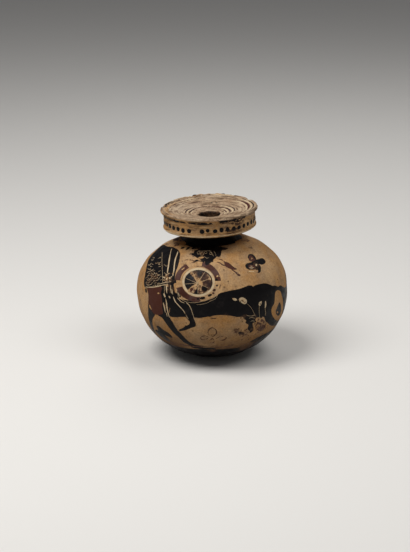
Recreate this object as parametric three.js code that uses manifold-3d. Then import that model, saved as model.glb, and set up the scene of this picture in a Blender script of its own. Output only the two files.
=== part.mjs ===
// Round aryballos: a small wheel-thrown oil flask with a globular body, a broad disc mouth
// pierced by a narrow bore, and a strap handle at the back. Millimetres, +Z up, the origin at
// the centre of the resting ring, the painted front facing -Y.
//
// The potter makes three parts and joins them leather-hard with slip: the body, the mouthpiece
// (neck and mouth plate thrown in one) and the strap handle. Each luting is a solid of its own.

import * as THREE from "three";
import { mergeVertices } from "three/addons/utils/BufferGeometryUtils.js";
import Module from "manifold-3d";

const wasm = await Module();
wasm.setup();

// Body: two superelliptic arcs that meet at the girth.
const bodyRadius = 31;
const girthHeight = 27.3;
const baseCut = 0.6; // how much of the belly curve's tip the resting ring cuts off
const bellyFullness = 2.2; // 2 is an ellipse, more is fuller
const shoulderDepth = 23;
const shoulderFullness = 2.25;
const wallThickness = 3;
const floorThickness = 4.2;
const throwingRidge = 0.5; // height of the finger ridges left inside by throwing
const throwingPitch = 8;

// Base: a flat resting ring round a shallow pressed dimple.
const dimpleRadius = 4.2;
const dimpleDepth = 0.8;

// Where the mouthpiece stands on the body
const seatRadius = 10.4;
const jointGap = 0.3;
const slipBed = 0.5;
const filletReach = 2.8; // how far the neck luting spreads over the shoulder
const filletHeight = 2;
const filletEdge = 0.25;

// Mouthpiece: a short concave neck that opens into the plate
const boreRadius = 4.3;
const boreLip = 0.6; // rounding at the mouth of the bore
const neckFootRadius = 9.6;
const neckWaistRadius = 8.9;
const neckHeight = 2.3; // from the foot to the root of the plate
const plateRadius = 19.95;
const plateRootRadius = 10.4;
const plateUnderRise = 1.5; // how far the underside climbs from root to edge
const plateDrop = 8.3; // height of the edge band, from its lower bead to the lip
const beadInset = 0.85; // the lower bead stands this far inside the lip
const waistInset = 1.25; // and the hollow of the edge band this far
const lipWidth = 1.5;
const lipRound = 0.7; // rounding of the lip's outer corner
const beadRound = 0.5; // and of the lower bead
const lipHeight = 0.45;
const dishDepth = 2.85; // fall of the plate's top from the lip to the bore

// Strap handle
const strapWidth = 14.5;
const strapWaist = 12.5;
const strapThickness = 3.6;
const strapStandOff = 3.4; // how far the strap's middle line bows beyond the lip
const strapRootInset = 8.4; // its middle line meets the shoulder this far inside the girth
const strapRoundness = 4; // exponent of its section
const luteThickness = 1.3;
const luteFlare = 0.5; // the handle lutings stand this far proud of the strap

// The pot leans a little to -X above its belly, as hand-thrown pots do.
const leanAngle = THREE.MathUtils.degToRad(2.4);
const leanStart = 20;
const leanEnd = 42;

// Facets
const turns = 56;
const bellySteps = 14;
const shoulderSteps = 12;
const ridgeSteps = 4;
const strapSteps = 22;
const strapSides = 20;

const bellyDepth = girthHeight + baseCut;
const strapRootRadius = bodyRadius - strapRootInset;
const seatHeight = shoulderHeight(seatRadius);
const neckFootHeight = seatHeight + 2 * jointGap + slipBed;
const plateRootHeight = neckFootHeight + neckHeight;
const plateEdgeHeight = plateRootHeight + plateUnderRise;
const lipTop = plateEdgeHeight + plateDrop;

// Half-depth of a superelliptic arc where its radius is r, as a share of its whole depth.
function arcShare(r, radius, fullness) {
  return Math.pow(1 - (r / radius) ** 2, 1 / fullness);
}

// Height of the outer shoulder at a radius.
function shoulderHeight(r) {
  return girthHeight + shoulderDepth * arcShare(r, bodyRadius, shoulderFullness);
}

// Points of a superelliptic arc, from radius r0 to radius r1, stepped evenly by angle.
// The depth is negative below the girth.
function arcPoints(radius, depth, fullness, r0, r1, steps) {
  const from = Math.asin(r0 / radius);
  const to = Math.asin(r1 / radius);
  const points = [];
  for (let i = 0; i <= steps; i++) {
    const t = from + ((to - from) * i) / steps;
    const share = Math.pow(Math.max(Math.cos(t), 0), 2 / fullness);
    points.push(new THREE.Vector2(radius * Math.sin(t), girthHeight + depth * share));
  }
  return points;
}

// Radius of the resting ring, where the belly curve meets the table.
function restingRadius() {
  return bodyRadius * Math.sqrt(1 - Math.pow(girthHeight / bellyDepth, bellyFullness));
}

// Outer meridian of the body, from the resting ring up to the neck's seat.
function outerMeridian() {
  const belly = arcPoints(
    bodyRadius, -bellyDepth, bellyFullness, restingRadius(), bodyRadius, bellySteps,
  );
  const shoulder = arcPoints(
    bodyRadius, shoulderDepth, shoulderFullness, bodyRadius, seatRadius, shoulderSteps,
  );
  belly[0].y = 0;
  return [...belly, ...shoulder.slice(1)];
}

// Inner meridian, from the throat down to the floor's centre, with the finger ridges.
function innerMeridian() {
  const radius = bodyRadius - wallThickness;
  const top = shoulderDepth - wallThickness;
  const bottom = bellyDepth - floorThickness;
  const length = (Math.PI / 4) * (2 * radius + top + bottom);
  const steps = Math.round((length / throwingPitch) * ridgeSteps);
  const from = Math.asin(boreRadius / radius);
  const points = [];
  for (let i = 0; i <= steps; i++) {
    const t = from + ((Math.PI - from) * i) / steps;
    const upper = t < Math.PI / 2;
    const depth = upper ? top : -bottom;
    const fullness = upper ? shoulderFullness : bellyFullness;
    const share = Math.pow(Math.abs(Math.cos(t)), 2 / fullness);
    const fade = Math.sin(t) ** 2;
    const ridge = fade * throwingRidge * Math.sin((i / ridgeSteps) * Math.PI) ** 2;
    const r = i === steps ? 0 : (radius - ridge) * Math.sin(t);
    points.push(new THREE.Vector2(r, girthHeight + depth * share));
  }
  return points;
}

// Moves each point of an open meridian outwards along its own normal.
function offsetMeridian(points, distance) {
  return points.map((p, i) => {
    const before = points[Math.max(i - 1, 0)];
    const after = points[Math.min(i + 1, points.length - 1)];
    const along = after.clone().sub(before).normalize();
    return new THREE.Vector2(p.x + along.y * distance, p.y - along.x * distance);
  });
}

// A solid of revolution about +Z from a meridian that runs outside, bottom to top.
function revolve(points) {
  return new THREE.LatheGeometry(points, turns).rotateX(Math.PI / 2);
}

function toManifold(geometry) {
  const bare = geometry.clone();
  for (const name of Object.keys(bare.attributes)) {
    if (name !== "position") bare.deleteAttribute(name);
  }
  const merged = mergeVertices(bare, 1e-4);
  return new wasm.Manifold(
    new wasm.Mesh({
      numProp: 3,
      vertProperties: new Float32Array(merged.attributes.position.array),
      triVerts: new Uint32Array(merged.index.array),
    }),
  );
}

function toGeometry(solid) {
  const mesh = solid.getMesh();
  const geometry = new THREE.BufferGeometry();
  geometry.setAttribute("position", new THREE.BufferAttribute(mesh.vertProperties, 3));
  geometry.setIndex(new THREE.BufferAttribute(mesh.triVerts, 1));
  geometry.computeVertexNormals();
  return geometry;
}

// The lean: the axis bends smoothly between leanStart and leanEnd and runs straight above.
function lean(geometry) {
  const position = geometry.attributes.position;
  const slope = Math.tan(leanAngle);
  const span = leanEnd - leanStart;
  for (let i = 0; i < position.count; i++) {
    const x = position.getX(i);
    const z = position.getZ(i);
    const share = THREE.MathUtils.clamp((z - leanStart) / span, 0, 1);
    const angle = leanAngle * share;
    const shift = slope * ((span * share ** 2) / 2 + Math.max(z - leanEnd, 0));
    position.setX(i, x * Math.cos(angle) - shift);
    position.setZ(i, z + x * Math.sin(angle));
  }
  geometry.computeVertexNormals();
  return geometry;
}

// Body: a hollow shell, open at the throat, dimpled under the base.
function bodyGeometry() {
  const dimple = [
    new THREE.Vector2(0, dimpleDepth),
    new THREE.Vector2(dimpleRadius * 0.55, dimpleDepth * 0.7),
    new THREE.Vector2(dimpleRadius, 0),
  ];
  const throat = [new THREE.Vector2(boreRadius, seatHeight)];
  return revolve([...dimple, ...outerMeridian(), ...throat, ...innerMeridian()]);
}

// Neck luting: a bed of slip under the neck's foot and a hollow fillet round it.
function neckLuteGeometry() {
  const reach = seatRadius + filletReach;
  const spread = arcPoints(bodyRadius, shoulderDepth, shoulderFullness, reach, seatRadius, 3);
  const under = offsetMeridian(spread, jointGap).reverse();
  const bedFloor = seatHeight + jointGap;
  const bedTop = bedFloor + slipBed;
  const inner = neckFootRadius + jointGap;
  const tip = under[under.length - 1].clone();
  tip.y += filletEdge;
  const fillet = new THREE.QuadraticBezierCurve(
    tip,
    new THREE.Vector2(inner + filletEdge * 2, bedTop + filletEdge),
    new THREE.Vector2(inner + filletEdge, bedFloor + filletHeight),
  );
  const profile = [
    new THREE.Vector2(boreRadius, bedFloor),
    ...under,
    ...fillet.getPoints(4),
    new THREE.Vector2(inner, bedFloor + filletHeight),
    new THREE.Vector2(inner, bedTop),
    new THREE.Vector2(boreRadius, bedTop),
    new THREE.Vector2(boreRadius, bedFloor),
  ];
  return revolve(profile);
}

// Outside of the mouthpiece, from the neck's foot up over the lip.
function mouthOutside() {
  const neck = new THREE.CubicBezierCurve(
    new THREE.Vector2(neckFootRadius, neckFootHeight),
    new THREE.Vector2(neckWaistRadius, neckFootHeight + neckHeight * 0.35),
    new THREE.Vector2(neckWaistRadius, neckFootHeight + neckHeight * 0.7),
    new THREE.Vector2(plateRootRadius, plateRootHeight),
  );
  const bead = plateRadius - beadInset;
  const underside = new THREE.QuadraticBezierCurve(
    new THREE.Vector2(plateRootRadius, plateRootHeight),
    new THREE.Vector2((plateRootRadius + bead) / 2, plateEdgeHeight - plateUnderRise * 0.35),
    new THREE.Vector2(bead - beadRound, plateEdgeHeight),
  );
  // Each point is its inset from the lip and its share of the plate's drop.
  const band = [
    [beadInset, 0.045],
    [beadInset, 0.11],
    [waistInset - 0.1, 0.18],
    [waistInset, 0.4],
    [waistInset - 0.15, 0.74],
    [lipRound / 2, 0.815],
    [0, 0.885],
    [lipRound * 0.3, 0.96],
    [lipRound, 1],
  ].map(([inset, rise]) => new THREE.Vector2(plateRadius - inset, plateEdgeHeight + plateDrop * rise));
  return [...neck.getPoints(5), ...underside.getPoints(4).slice(1), ...band];
}

// Mouthpiece: neck and plate with the bore through both, and a dished top inside the lip.
function mouthpieceGeometry() {
  const lipInner = plateRadius - lipWidth;
  const boreTop = lipTop - lipHeight - dishDepth;
  const dish = new THREE.QuadraticBezierCurve(
    new THREE.Vector2(lipInner, lipTop - lipHeight),
    new THREE.Vector2(lipInner * 0.6, boreTop + dishDepth * 0.45),
    new THREE.Vector2(boreRadius + boreLip, boreTop),
  );
  const profile = [
    ...mouthOutside(),
    new THREE.Vector2(plateRadius - lipWidth * 0.7, lipTop - lipHeight * 0.2),
    ...dish.getPoints(5),
    new THREE.Vector2(boreRadius, boreTop - boreLip),
    new THREE.Vector2(boreRadius, neckFootHeight),
    new THREE.Vector2(neckFootRadius, neckFootHeight),
  ];
  return revolve(profile);
}

// A solid that fills everything within a distance of the body's outside.
function bodyEnvelope(distance) {
  const skin = offsetMeridian(outerMeridian(), distance);
  const top = skin[skin.length - 1].y;
  const bottom = skin[0].y;
  return toManifold(revolve([new THREE.Vector2(0, bottom), ...skin, new THREE.Vector2(0, top)]));
}

// The same for the mouthpiece.
function mouthEnvelope(distance) {
  const skin = offsetMeridian(mouthOutside(), distance);
  const top = skin[skin.length - 1].y;
  const bottom = skin[0].y;
  return toManifold(revolve([new THREE.Vector2(0, bottom), ...skin, new THREE.Vector2(0, top)]));
}

// A plain cylinder about the axis, from height z0 to z1.
function cylinder(radius, z0, z1) {
  return toManifold(revolve([
    new THREE.Vector2(0, z0),
    new THREE.Vector2(radius, z0),
    new THREE.Vector2(radius, z1),
    new THREE.Vector2(0, z1),
  ]));
}

// The strap swept from inside the lip to inside the shoulder, its section grown by flare.
function strapSweep(flare) {
  const headHeight = lipTop - lipHeight - strapThickness / 2;
  const rootHeight = shoulderHeight(strapRootRadius);
  const bow = plateRadius + strapStandOff;
  const path = new THREE.CubicBezierCurve3(
    new THREE.Vector3(0, plateRadius - lipWidth, headHeight),
    new THREE.Vector3(0, bow + strapThickness / 2, headHeight + strapThickness / 4),
    new THREE.Vector3(0, bow + strapThickness / 3, rootHeight + strapThickness * 2),
    new THREE.Vector3(0, strapRootRadius, rootHeight - strapThickness),
  );
  const positions = [];
  const indices = [];
  for (let i = 0; i <= strapSteps; i++) {
    const t = i / strapSteps;
    const centre = path.getPoint(t);
    const along = path.getTangent(t);
    const out = new THREE.Vector3(0, along.z, -along.y).negate();
    const width = strapWaist + (strapWidth - strapWaist) * (2 * t - 1) ** 2 + 2 * flare;
    const depth = strapThickness + 2 * flare;
    for (let j = 0; j < strapSides; j++) {
      const a = (j / strapSides) * 2 * Math.PI;
      const c = Math.sign(Math.cos(a)) * Math.abs(Math.cos(a)) ** (2 / strapRoundness);
      const s = Math.sign(Math.sin(a)) * Math.abs(Math.sin(a)) ** (2 / strapRoundness);
      const point = centre.clone().addScaledVector(out, (s * depth) / 2);
      positions.push(point.x + (c * width) / 2, point.y, point.z);
    }
  }
  const ring = (i, j) => i * strapSides + (j % strapSides);
  for (let i = 0; i < strapSteps; i++) {
    for (let j = 0; j < strapSides; j++) {
      indices.push(ring(i, j), ring(i + 1, j), ring(i, j + 1));
      indices.push(ring(i, j + 1), ring(i + 1, j), ring(i + 1, j + 1));
    }
  }
  for (let j = 1; j < strapSides - 1; j++) {
    indices.push(ring(0, 0), ring(0, j), ring(0, j + 1));
    indices.push(ring(strapSteps, 0), ring(strapSteps, j + 1), ring(strapSteps, j));
  }
  const geometry = new THREE.BufferGeometry();
  geometry.setAttribute("position", new THREE.Float32BufferAttribute(positions, 3));
  geometry.setIndex(indices);
  return toManifold(geometry);
}

// Strap handle: the sweep less the room that its two lutings take at the lip and the shoulder.
function strapGeometry() {
  const room = luteThickness + jointGap;
  const solid = strapSweep(0)
    .subtract(cylinder(plateRadius + room, plateRootHeight, lipTop + strapThickness))
    .subtract(bodyEnvelope(room));
  return toGeometry(solid);
}

// Luting between the plate's edge band and the strap's head.
function headLuteGeometry() {
  const collar = cylinder(plateRadius + luteThickness, plateRootHeight, lipTop + strapThickness);
  return toGeometry(strapSweep(luteFlare).intersect(collar).subtract(mouthEnvelope(jointGap)));
}

// Luting between the shoulder and the strap's root.
function rootLuteGeometry() {
  const skin = bodyEnvelope(luteThickness).subtract(bodyEnvelope(jointGap));
  return toGeometry(strapSweep(luteFlare).intersect(skin));
}

const buffClay = new THREE.MeshStandardMaterial({ color: 0xc9a06c, roughness: 0.72, metalness: 0 });
const blackGloss = new THREE.MeshStandardMaterial({ color: 0x1d1815, roughness: 0.42, metalness: 0 });

function piece(name, geometry, material) {
  const mesh = new THREE.Mesh(lean(geometry), material);
  mesh.name = name;
  return mesh;
}

const aryballos = new THREE.Group();
aryballos.add(
  piece("body", bodyGeometry(), buffClay),
  piece("neck_luting", neckLuteGeometry(), blackGloss),
  piece("mouthpiece", mouthpieceGeometry(), buffClay),
  piece("strap_handle", strapGeometry(), buffClay),
  piece("handle_head_luting", headLuteGeometry(), buffClay),
  piece("handle_root_luting", rootLuteGeometry(), buffClay),
);

export default aryballos;
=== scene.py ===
import math
import random

import bmesh
import bpy
import mathutils
import numpy as np
from mathutils.geometry import delaunay_2d_cdt
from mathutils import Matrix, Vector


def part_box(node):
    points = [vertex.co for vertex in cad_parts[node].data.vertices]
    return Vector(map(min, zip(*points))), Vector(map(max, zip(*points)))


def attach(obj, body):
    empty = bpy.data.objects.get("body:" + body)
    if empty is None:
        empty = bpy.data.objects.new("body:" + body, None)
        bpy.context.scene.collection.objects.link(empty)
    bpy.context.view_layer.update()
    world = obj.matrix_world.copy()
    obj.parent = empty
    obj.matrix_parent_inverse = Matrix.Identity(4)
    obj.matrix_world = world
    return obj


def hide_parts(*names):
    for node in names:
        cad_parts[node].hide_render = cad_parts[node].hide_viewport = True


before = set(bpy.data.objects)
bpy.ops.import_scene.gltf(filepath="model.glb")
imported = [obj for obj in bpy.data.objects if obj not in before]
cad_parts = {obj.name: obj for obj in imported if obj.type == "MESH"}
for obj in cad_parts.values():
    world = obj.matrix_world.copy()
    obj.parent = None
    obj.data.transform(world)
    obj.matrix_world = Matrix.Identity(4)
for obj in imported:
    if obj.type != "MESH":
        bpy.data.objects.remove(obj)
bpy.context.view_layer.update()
body_low, body_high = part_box("body")
mouth_low, mouth_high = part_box("mouthpiece")

bl_info = {"name": "Round aryballos", "version": (1, 0, 0), "blender": (4, 5, 0),
    "location": "3D View > Sidebar > Aryballos",
    "description": "Painted clay, slip and incision for a small round oil flask", "category": "Add Mesh"}


def length(name, description, default):
    """A length property in metres."""
    return bpy.props.FloatProperty(name=name, description=description, default=default, unit="LENGTH",
        subtype="DISTANCE")


def amount(name, description, default):
    """A plain number property."""
    return bpy.props.FloatProperty(name=name, description=description, default=default)


def angle(name, description, degrees):
    """An angle property, given in degrees and kept in radians."""
    return bpy.props.FloatProperty(name=name, description=description, default=math.radians(degrees),
        unit="ROTATION", subtype="ANGLE")


def count(name, description, default):
    """A whole number property."""
    return bpy.props.IntProperty(name=name, description=description, default=default, min=0)


def tint(name, description, red, green, blue):
    """A colour property, given as 8-bit screen values and kept linear."""
    default = [((part / 255 + 0.055) / 1.055) ** 2.4 for part in (red, green, blue)]
    return bpy.props.FloatVectorProperty(name=name, description=description, default=default,
        subtype="COLOR", min=0, max=1)


class FlaskLengths(bpy.types.PropertyGroup):
    """Lengths of the potted form, the same as the frame's."""

    body_radius: length("Body radius", "At the girth", (body_high.y - body_low.y) / 2)
    girth_height: length("Girth height", "Where the belly is widest", 0.0273)
    base_cut: length("Base cut", "How much of the belly's tip the resting ring cuts off", 0.0006)
    shoulder_depth: length("Shoulder depth", "From the girth to the crown of the arc", 0.023)
    wall: length("Wall", "Thickness of the thrown wall", 0.003)
    floor: length("Floor", "Thickness of the floor", 0.0042)
    ridge: length("Throwing ridge", "Height of the finger ridges inside", 0.0005)
    dimple_radius: length("Dimple radius", "Of the press mark under the base", 0.0042)
    dimple_depth: length("Dimple depth", "Of the press mark under the base", 0.0008)
    seat_radius: length("Seat radius", "Where the neck stands on the shoulder", 0.0104)
    neck_lift: length("Neck lift", "Bed of slip and its gaps under the neck", 0.0011)
    fillet_reach: length("Fillet reach", "How far the slip spreads over the shoulder", 0.0019)
    fillet_height: length("Fillet height", "How far the slip climbs the neck", 0.0018)
    bore_radius: length("Bore radius", "Of the hole for the oil", 0.0043)
    bore_lip: length("Bore lip", "Rounding at the mouth of the bore", 0.0006)
    neck_foot: length("Neck foot", "Radius of the neck at its foot", 0.0096)
    neck_waist: length("Neck waist", "Radius of the neck at its waist", 0.0089)
    neck_height: length("Neck height", "From its foot to the root of the plate", 0.0023)
    plate_radius: length("Plate radius", "At the lip", (mouth_high.y - mouth_low.y) / 2)
    plate_root: length("Plate root", "Radius where the plate leaves the neck", 0.0104)
    plate_rise: length("Plate rise", "Climb of the underside from root to edge", 0.0015)
    plate_drop: length("Plate drop", "Height of the edge band", 0.0083)
    bead_inset: length("Bead inset", "Lower bead inside the lip", 0.00085)
    waist_inset: length("Waist inset", "Hollow of the edge band inside the lip", 0.00125)
    lip_width: length("Lip width", "Flat of the lip", 0.0015)
    lip_round: length("Lip round", "Rounding of the lip's corner", 0.0007)
    lip_height: length("Lip height", "Of the lip above the dish", 0.00045)
    dish_depth: length("Dish depth", "Fall of the plate's top to the bore", 0.00285)
    strap_width: length("Strap width", "At its two ends", 0.0145)
    strap_waist: length("Strap waist", "Width at its middle", 0.0125)
    strap_thickness: length("Strap thickness", "Of the pulled strap", 0.0036)
    strap_stand_off: length("Strap stand-off", "How far its middle line bows past the lip", 0.0034)
    strap_root_inset: length("Strap root inset", "Its root inside the girth", 0.0084)


class FlaskHabits(bpy.types.PropertyGroup):
    """Fullness, lean and mesh fineness."""

    belly_fullness: amount("Belly fullness", "2 is an ellipse, more is fuller", 2.2)
    shoulder_fullness: amount("Shoulder fullness", "2 is an ellipse, more is fuller", 2.25)
    lean: angle("Lean", "Lean of the neck and mouth to the left", 2.4)
    lean_start: length("Lean start", "Height where the axis starts to bend", 0.020)
    lean_end: length("Lean end", "Height where it runs straight again", 0.042)
    ridges: amount("Ridges", "Throwing ridges from floor to throat", 10)
    turns: count("Turns", "Columns of points round the rims", 72)
    body_spacing: length("Body spacing", "Distance between points on the body", 0.00095)
    mouth_spacing: length("Mouth spacing", "Distance between points on the mouthpiece", 0.0006)
    unevenness: length("Unevenness", "How far the hand-thrown skin strays", 0.00011)
    seed: count("Seed", "Choice of the hand's small chances", 617)


class FlaskColours(bpy.types.PropertyGroup):
    """Colours of clay, slip and grime, some of which also serve as painted shade and a painted highlight.
    """

    clay: tint("Clay", "Buff clay", 174, 140, 100)
    ochre: tint("Ochre clay", "Where the firing left it yellower", 160, 117, 69)
    grey: tint("Grey clay", "Where it is worn or stained", 136, 114, 91)
    plate: tint("Plate clay", "Paler and greyer, on the worn mouth", 170, 148, 123)
    plate_shade: tint("Plate shade", "In patches of the worn mouth", 140, 112, 86)
    # Pale clay of incised lines, also used for a painted highlight on the mouth's bead.
    scratch: tint("Scratch", "Fresh clay in incised lines", 186, 166, 134)
    # Grime colour, also the colour of the painted shade towards the foot.
    dirt: tint("Dirt", "In pits and hollows", 78, 56, 38)
    black: tint("Black slip", "Where it lies thick", 14, 12, 13)
    brown: tint("Thin slip", "Where it lies thin", 82, 58, 41)
    red: tint("Added red", "Purple-red over the black", 68, 37, 28)
    purple: tint("Worn purple", "Where the red has faded", 80, 58, 53)
    bloom: tint("Bloom", "Pale deposit on the black", 96, 86, 80)
    floor: tint("Floor", "Of the studio", 214, 211, 206)


class Studio(bpy.types.PropertyGroup):
    """Camera and lamps."""

    elevation: angle("Elevation", "Of the camera above the horizon", 17.0)
    distance: length("Distance", "From the camera to what it aims at", 0.76)
    lens: amount("Lens", "Focal length in millimetres, on a 36 mm sensor", 120.2)
    centre_height: length("Centre height", "Middle of the flask", 0.03045)
    aim_right: length("Aim right", "Camera moved sideways", -0.00293)
    aim_up: length("Aim up", "Camera moved up", 0.00192)
    key_power: amount("Key lamp", "Watts, large and soft, from the upper left", 2.7)
    fill_power: amount("Fill lamp", "Watts, from the upper right", 1.25)
    back_power: amount("Back lamp", "Watts, from behind", 0.7)
    world_light: amount("World light", "Strength of the soft light all round", 0.15)


def lengths():
    """All potting lengths in millimetres."""
    group = bpy.context.scene.aryballos_lengths
    habits = bpy.context.scene.aryballos_habits
    sizes = {name: getattr(group, name) * 1000 for name in FlaskLengths.__annotations__}
    sizes["lean_start"] = habits.lean_start * 1000
    sizes["lean_end"] = habits.lean_end * 1000
    sizes["belly_depth"] = sizes["girth_height"] + sizes["base_cut"]
    part = type("Sizes", (), sizes)
    part.lean = habits.lean
    part.belly_fullness = habits.belly_fullness
    part.shoulder_fullness = habits.shoulder_fullness
    part.seat_height = shoulder_height(part, part.seat_radius)
    part.neck_foot_height = part.seat_height + part.neck_lift
    part.plate_root_height = part.neck_foot_height + part.neck_height
    part.plate_edge_height = part.plate_root_height + part.plate_rise
    part.lip_top = part.plate_edge_height + part.plate_drop
    part.bore_top = part.lip_top - part.lip_height - part.dish_depth
    return part


def shoulder_height(part, radius):
    """Height of the outer shoulder at a radius."""
    share = (1 - (radius / part.body_radius) ** 2) ** (1 / part.shoulder_fullness)
    return part.girth_height + part.shoulder_depth * share


# Turned profiles


def bezier(points, steps):
    """Points along a Bezier curve of any degree, both ends included."""
    share = np.linspace(0, 1, steps + 1)[:, None]
    layers = [np.asarray(point, float)[None, :] for point in points]
    while len(layers) > 1:
        layers = [a * (1 - share) + b * share for a, b in zip(layers, layers[1:])]
    return layers[0]


def belly_and_shoulder(part):
    """Outer meridian of the body, from the resting ring to the neck's seat."""
    cut = (part.girth_height / part.belly_depth) ** part.belly_fullness
    start = math.asin(math.sqrt(1 - cut))
    belly_turn = np.linspace(start, math.pi / 2, 240)
    belly_share = np.maximum(np.cos(belly_turn), 0) ** (2 / part.belly_fullness)
    belly = np.column_stack([part.body_radius * np.sin(belly_turn),
        part.girth_height - part.belly_depth * belly_share])
    end = math.asin(part.seat_radius / part.body_radius)
    rise_turn = np.linspace(math.pi / 2, end, 240)[1:]
    rise_share = np.maximum(np.cos(rise_turn), 0) ** (2 / part.shoulder_fullness)
    rise = np.column_stack([part.body_radius * np.sin(rise_turn),
        part.girth_height + part.shoulder_depth * rise_share])
    belly[0, 1] = 0
    return np.vstack([belly, rise])


def inner_wall(part, ridges):
    """Inner meridian from the throat down to the middle of the floor, with finger ridges."""
    radius = part.body_radius - part.wall
    turn = np.linspace(math.asin(part.bore_radius / radius), math.pi, 100)
    upper = turn < math.pi / 2
    depth = np.where(upper, part.shoulder_depth - part.wall, part.floor - part.belly_depth)
    fullness = np.where(upper, part.shoulder_fullness, part.belly_fullness)
    share = np.abs(np.cos(turn)) ** (2 / fullness)
    wave = np.sin(turn) ** 2 * np.sin(turn * ridges) ** 2
    across = (radius - part.ridge * wave) * np.sin(turn)
    across[-1] = 0
    return np.column_stack([across, part.girth_height + depth * share])


def mouth_meridian(part):
    """Meridian of the mouthpiece from the neck's foot, round the plate and down the bore."""
    foot = part.neck_foot_height
    neck = bezier([(part.neck_foot, foot), (part.neck_waist, foot + part.neck_height * 0.35),
        (part.neck_waist, foot + part.neck_height * 0.7), (part.plate_root, part.plate_root_height)], 30)
    bead = part.plate_radius - part.bead_inset
    underside = bezier([(part.plate_root, part.plate_root_height), ((part.plate_root + bead) / 2,
        part.plate_edge_height - part.plate_rise * 0.35), (bead - 0.5, part.plate_edge_height)], 40)
    band = [(part.bead_inset + 0.12, 0.01), (part.bead_inset, 0.05), (part.bead_inset, 0.105),
        (part.bead_inset + 0.2, 0.15), (part.waist_inset - 0.05, 0.2), (part.waist_inset, 0.4),
        (part.waist_inset - 0.15, 0.74), (part.lip_round / 2, 0.815), (0, 0.885),
        (part.lip_round * 0.25, 0.955), (part.lip_round, 0.995), (part.lip_width * 0.6, 1.0),
        (part.lip_width * 0.85, 0.97)]
    edge = [(part.plate_radius - inset, part.plate_edge_height + part.plate_drop * rise) for inset,
        rise in band]
    inner_lip = part.plate_radius - part.lip_width
    dish = bezier([(inner_lip - 0.15, part.lip_top - part.lip_height), (inner_lip * 0.6,
        part.bore_top + part.dish_depth * 0.45), (part.bore_radius + part.bore_lip, part.bore_top)], 60)
    rounding = bezier([(part.bore_radius + part.bore_lip, part.bore_top),
        (part.bore_radius + part.bore_lip * 0.2, part.bore_top - part.bore_lip * 0.2),
        (part.bore_radius, part.bore_top - part.bore_lip)], 6)
    turned_edge = smooth_line([underside[-1], *edge, dish[0]], step=0.12)
    bore = bezier([rounding[-1], (part.bore_radius, foot)], 30)
    return np.vstack([neck, underside[1:], turned_edge[1:], dish[1:], rounding[1:], bore[1:]])


# Hand-drawn lines


def smooth_line(points, closed=False, step=0.35):
    """A smooth curve through given points, with a point every step. The points are pairs, or one list of
    x and y by turns."""
    knots = np.reshape(points, (-1, 2)).astype(float)
    total = len(knots)
    spans = total if closed else total - 1
    found = []
    for i in range(spans):
        if closed:
            before, here, after, beyond = (knots[(i + k) % total] for k in (-1, 0, 1, 2))
        else:
            here, after = knots[i], knots[i + 1]
            before = knots[i - 1] if i else here * 2 - after
            beyond = knots[i + 2] if i + 2 < total else after * 2 - here
        pieces = max(1, int(math.ceil(np.linalg.norm(after - here) / step)))
        t = (np.arange(pieces) / pieces)[:, None]
        slow = (after - before) / 2
        fast = (beyond - here) / 2
        curve = (here + slow * t + (3 * (after - here) - 2 * slow - fast) * t**2
            + (2 * (here - after) + slow + fast) * t**3)
        found.append(curve)
    if not closed:
        found.append(knots[-1:])
    return np.vstack(found)


def unsteady(points, stray=0.05):
    """Strays of a brush from its line: a slow noise that depends on the place only."""
    pace = 0.9
    moved = []
    for x, y in points:
        shake = mathutils.noise.noise_vector((x * pace, y * pace, 3.7))
        moved.append((x + shake.x * stray, y + shake.y * stray))
    return np.array(moved)


def stroke(line, width, blunt=0.35):
    """Outline of a brush stroke along a line; the width may be one number or several."""
    widths = np.atleast_1d(np.asarray(width, float))
    along = np.gradient(line, axis=0)
    along /= np.maximum(np.linalg.norm(along, axis=1), 1e-9)[:, None]
    side = np.column_stack([-along[:, 1], along[:, 0]])
    steps = np.linalg.norm(np.diff(line, axis=0), axis=1)
    place = np.concatenate([[0], np.cumsum(steps)])
    whole = max(place[-1], 1e-6)
    full = np.interp(place / whole, np.linspace(0, 1, len(widths)), widths)
    end = np.minimum(place, whole - place) / np.maximum(full * 0.7, 1e-6)
    half = full / 2 * np.sqrt(np.clip(blunt + (1 - blunt) * end, 0, 1))
    left = line + side * half[:, None]
    right = line - side * half[:, None]
    return np.vstack([left, right[::-1]])


def oval(x, y, across, up, tilt=0.0, corners=40):
    """Outline of an ellipse; the tilt is in degrees."""
    turn = np.linspace(0, 2 * math.pi, corners, endpoint=False)
    c, s = math.cos(math.radians(tilt)), math.sin(math.radians(tilt))
    px, py = across * np.cos(turn), up * np.sin(turn)
    return np.column_stack([x + px * c - py * s, y + px * s + py * c])


# Skins: a turned surface with a flat chart


def around(radius, turn, height):
    """Points round the axis; the turn counts from the front."""
    return np.column_stack([radius * np.sin(turn), -radius * np.cos(turn), np.full(len(turn), height)])


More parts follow.
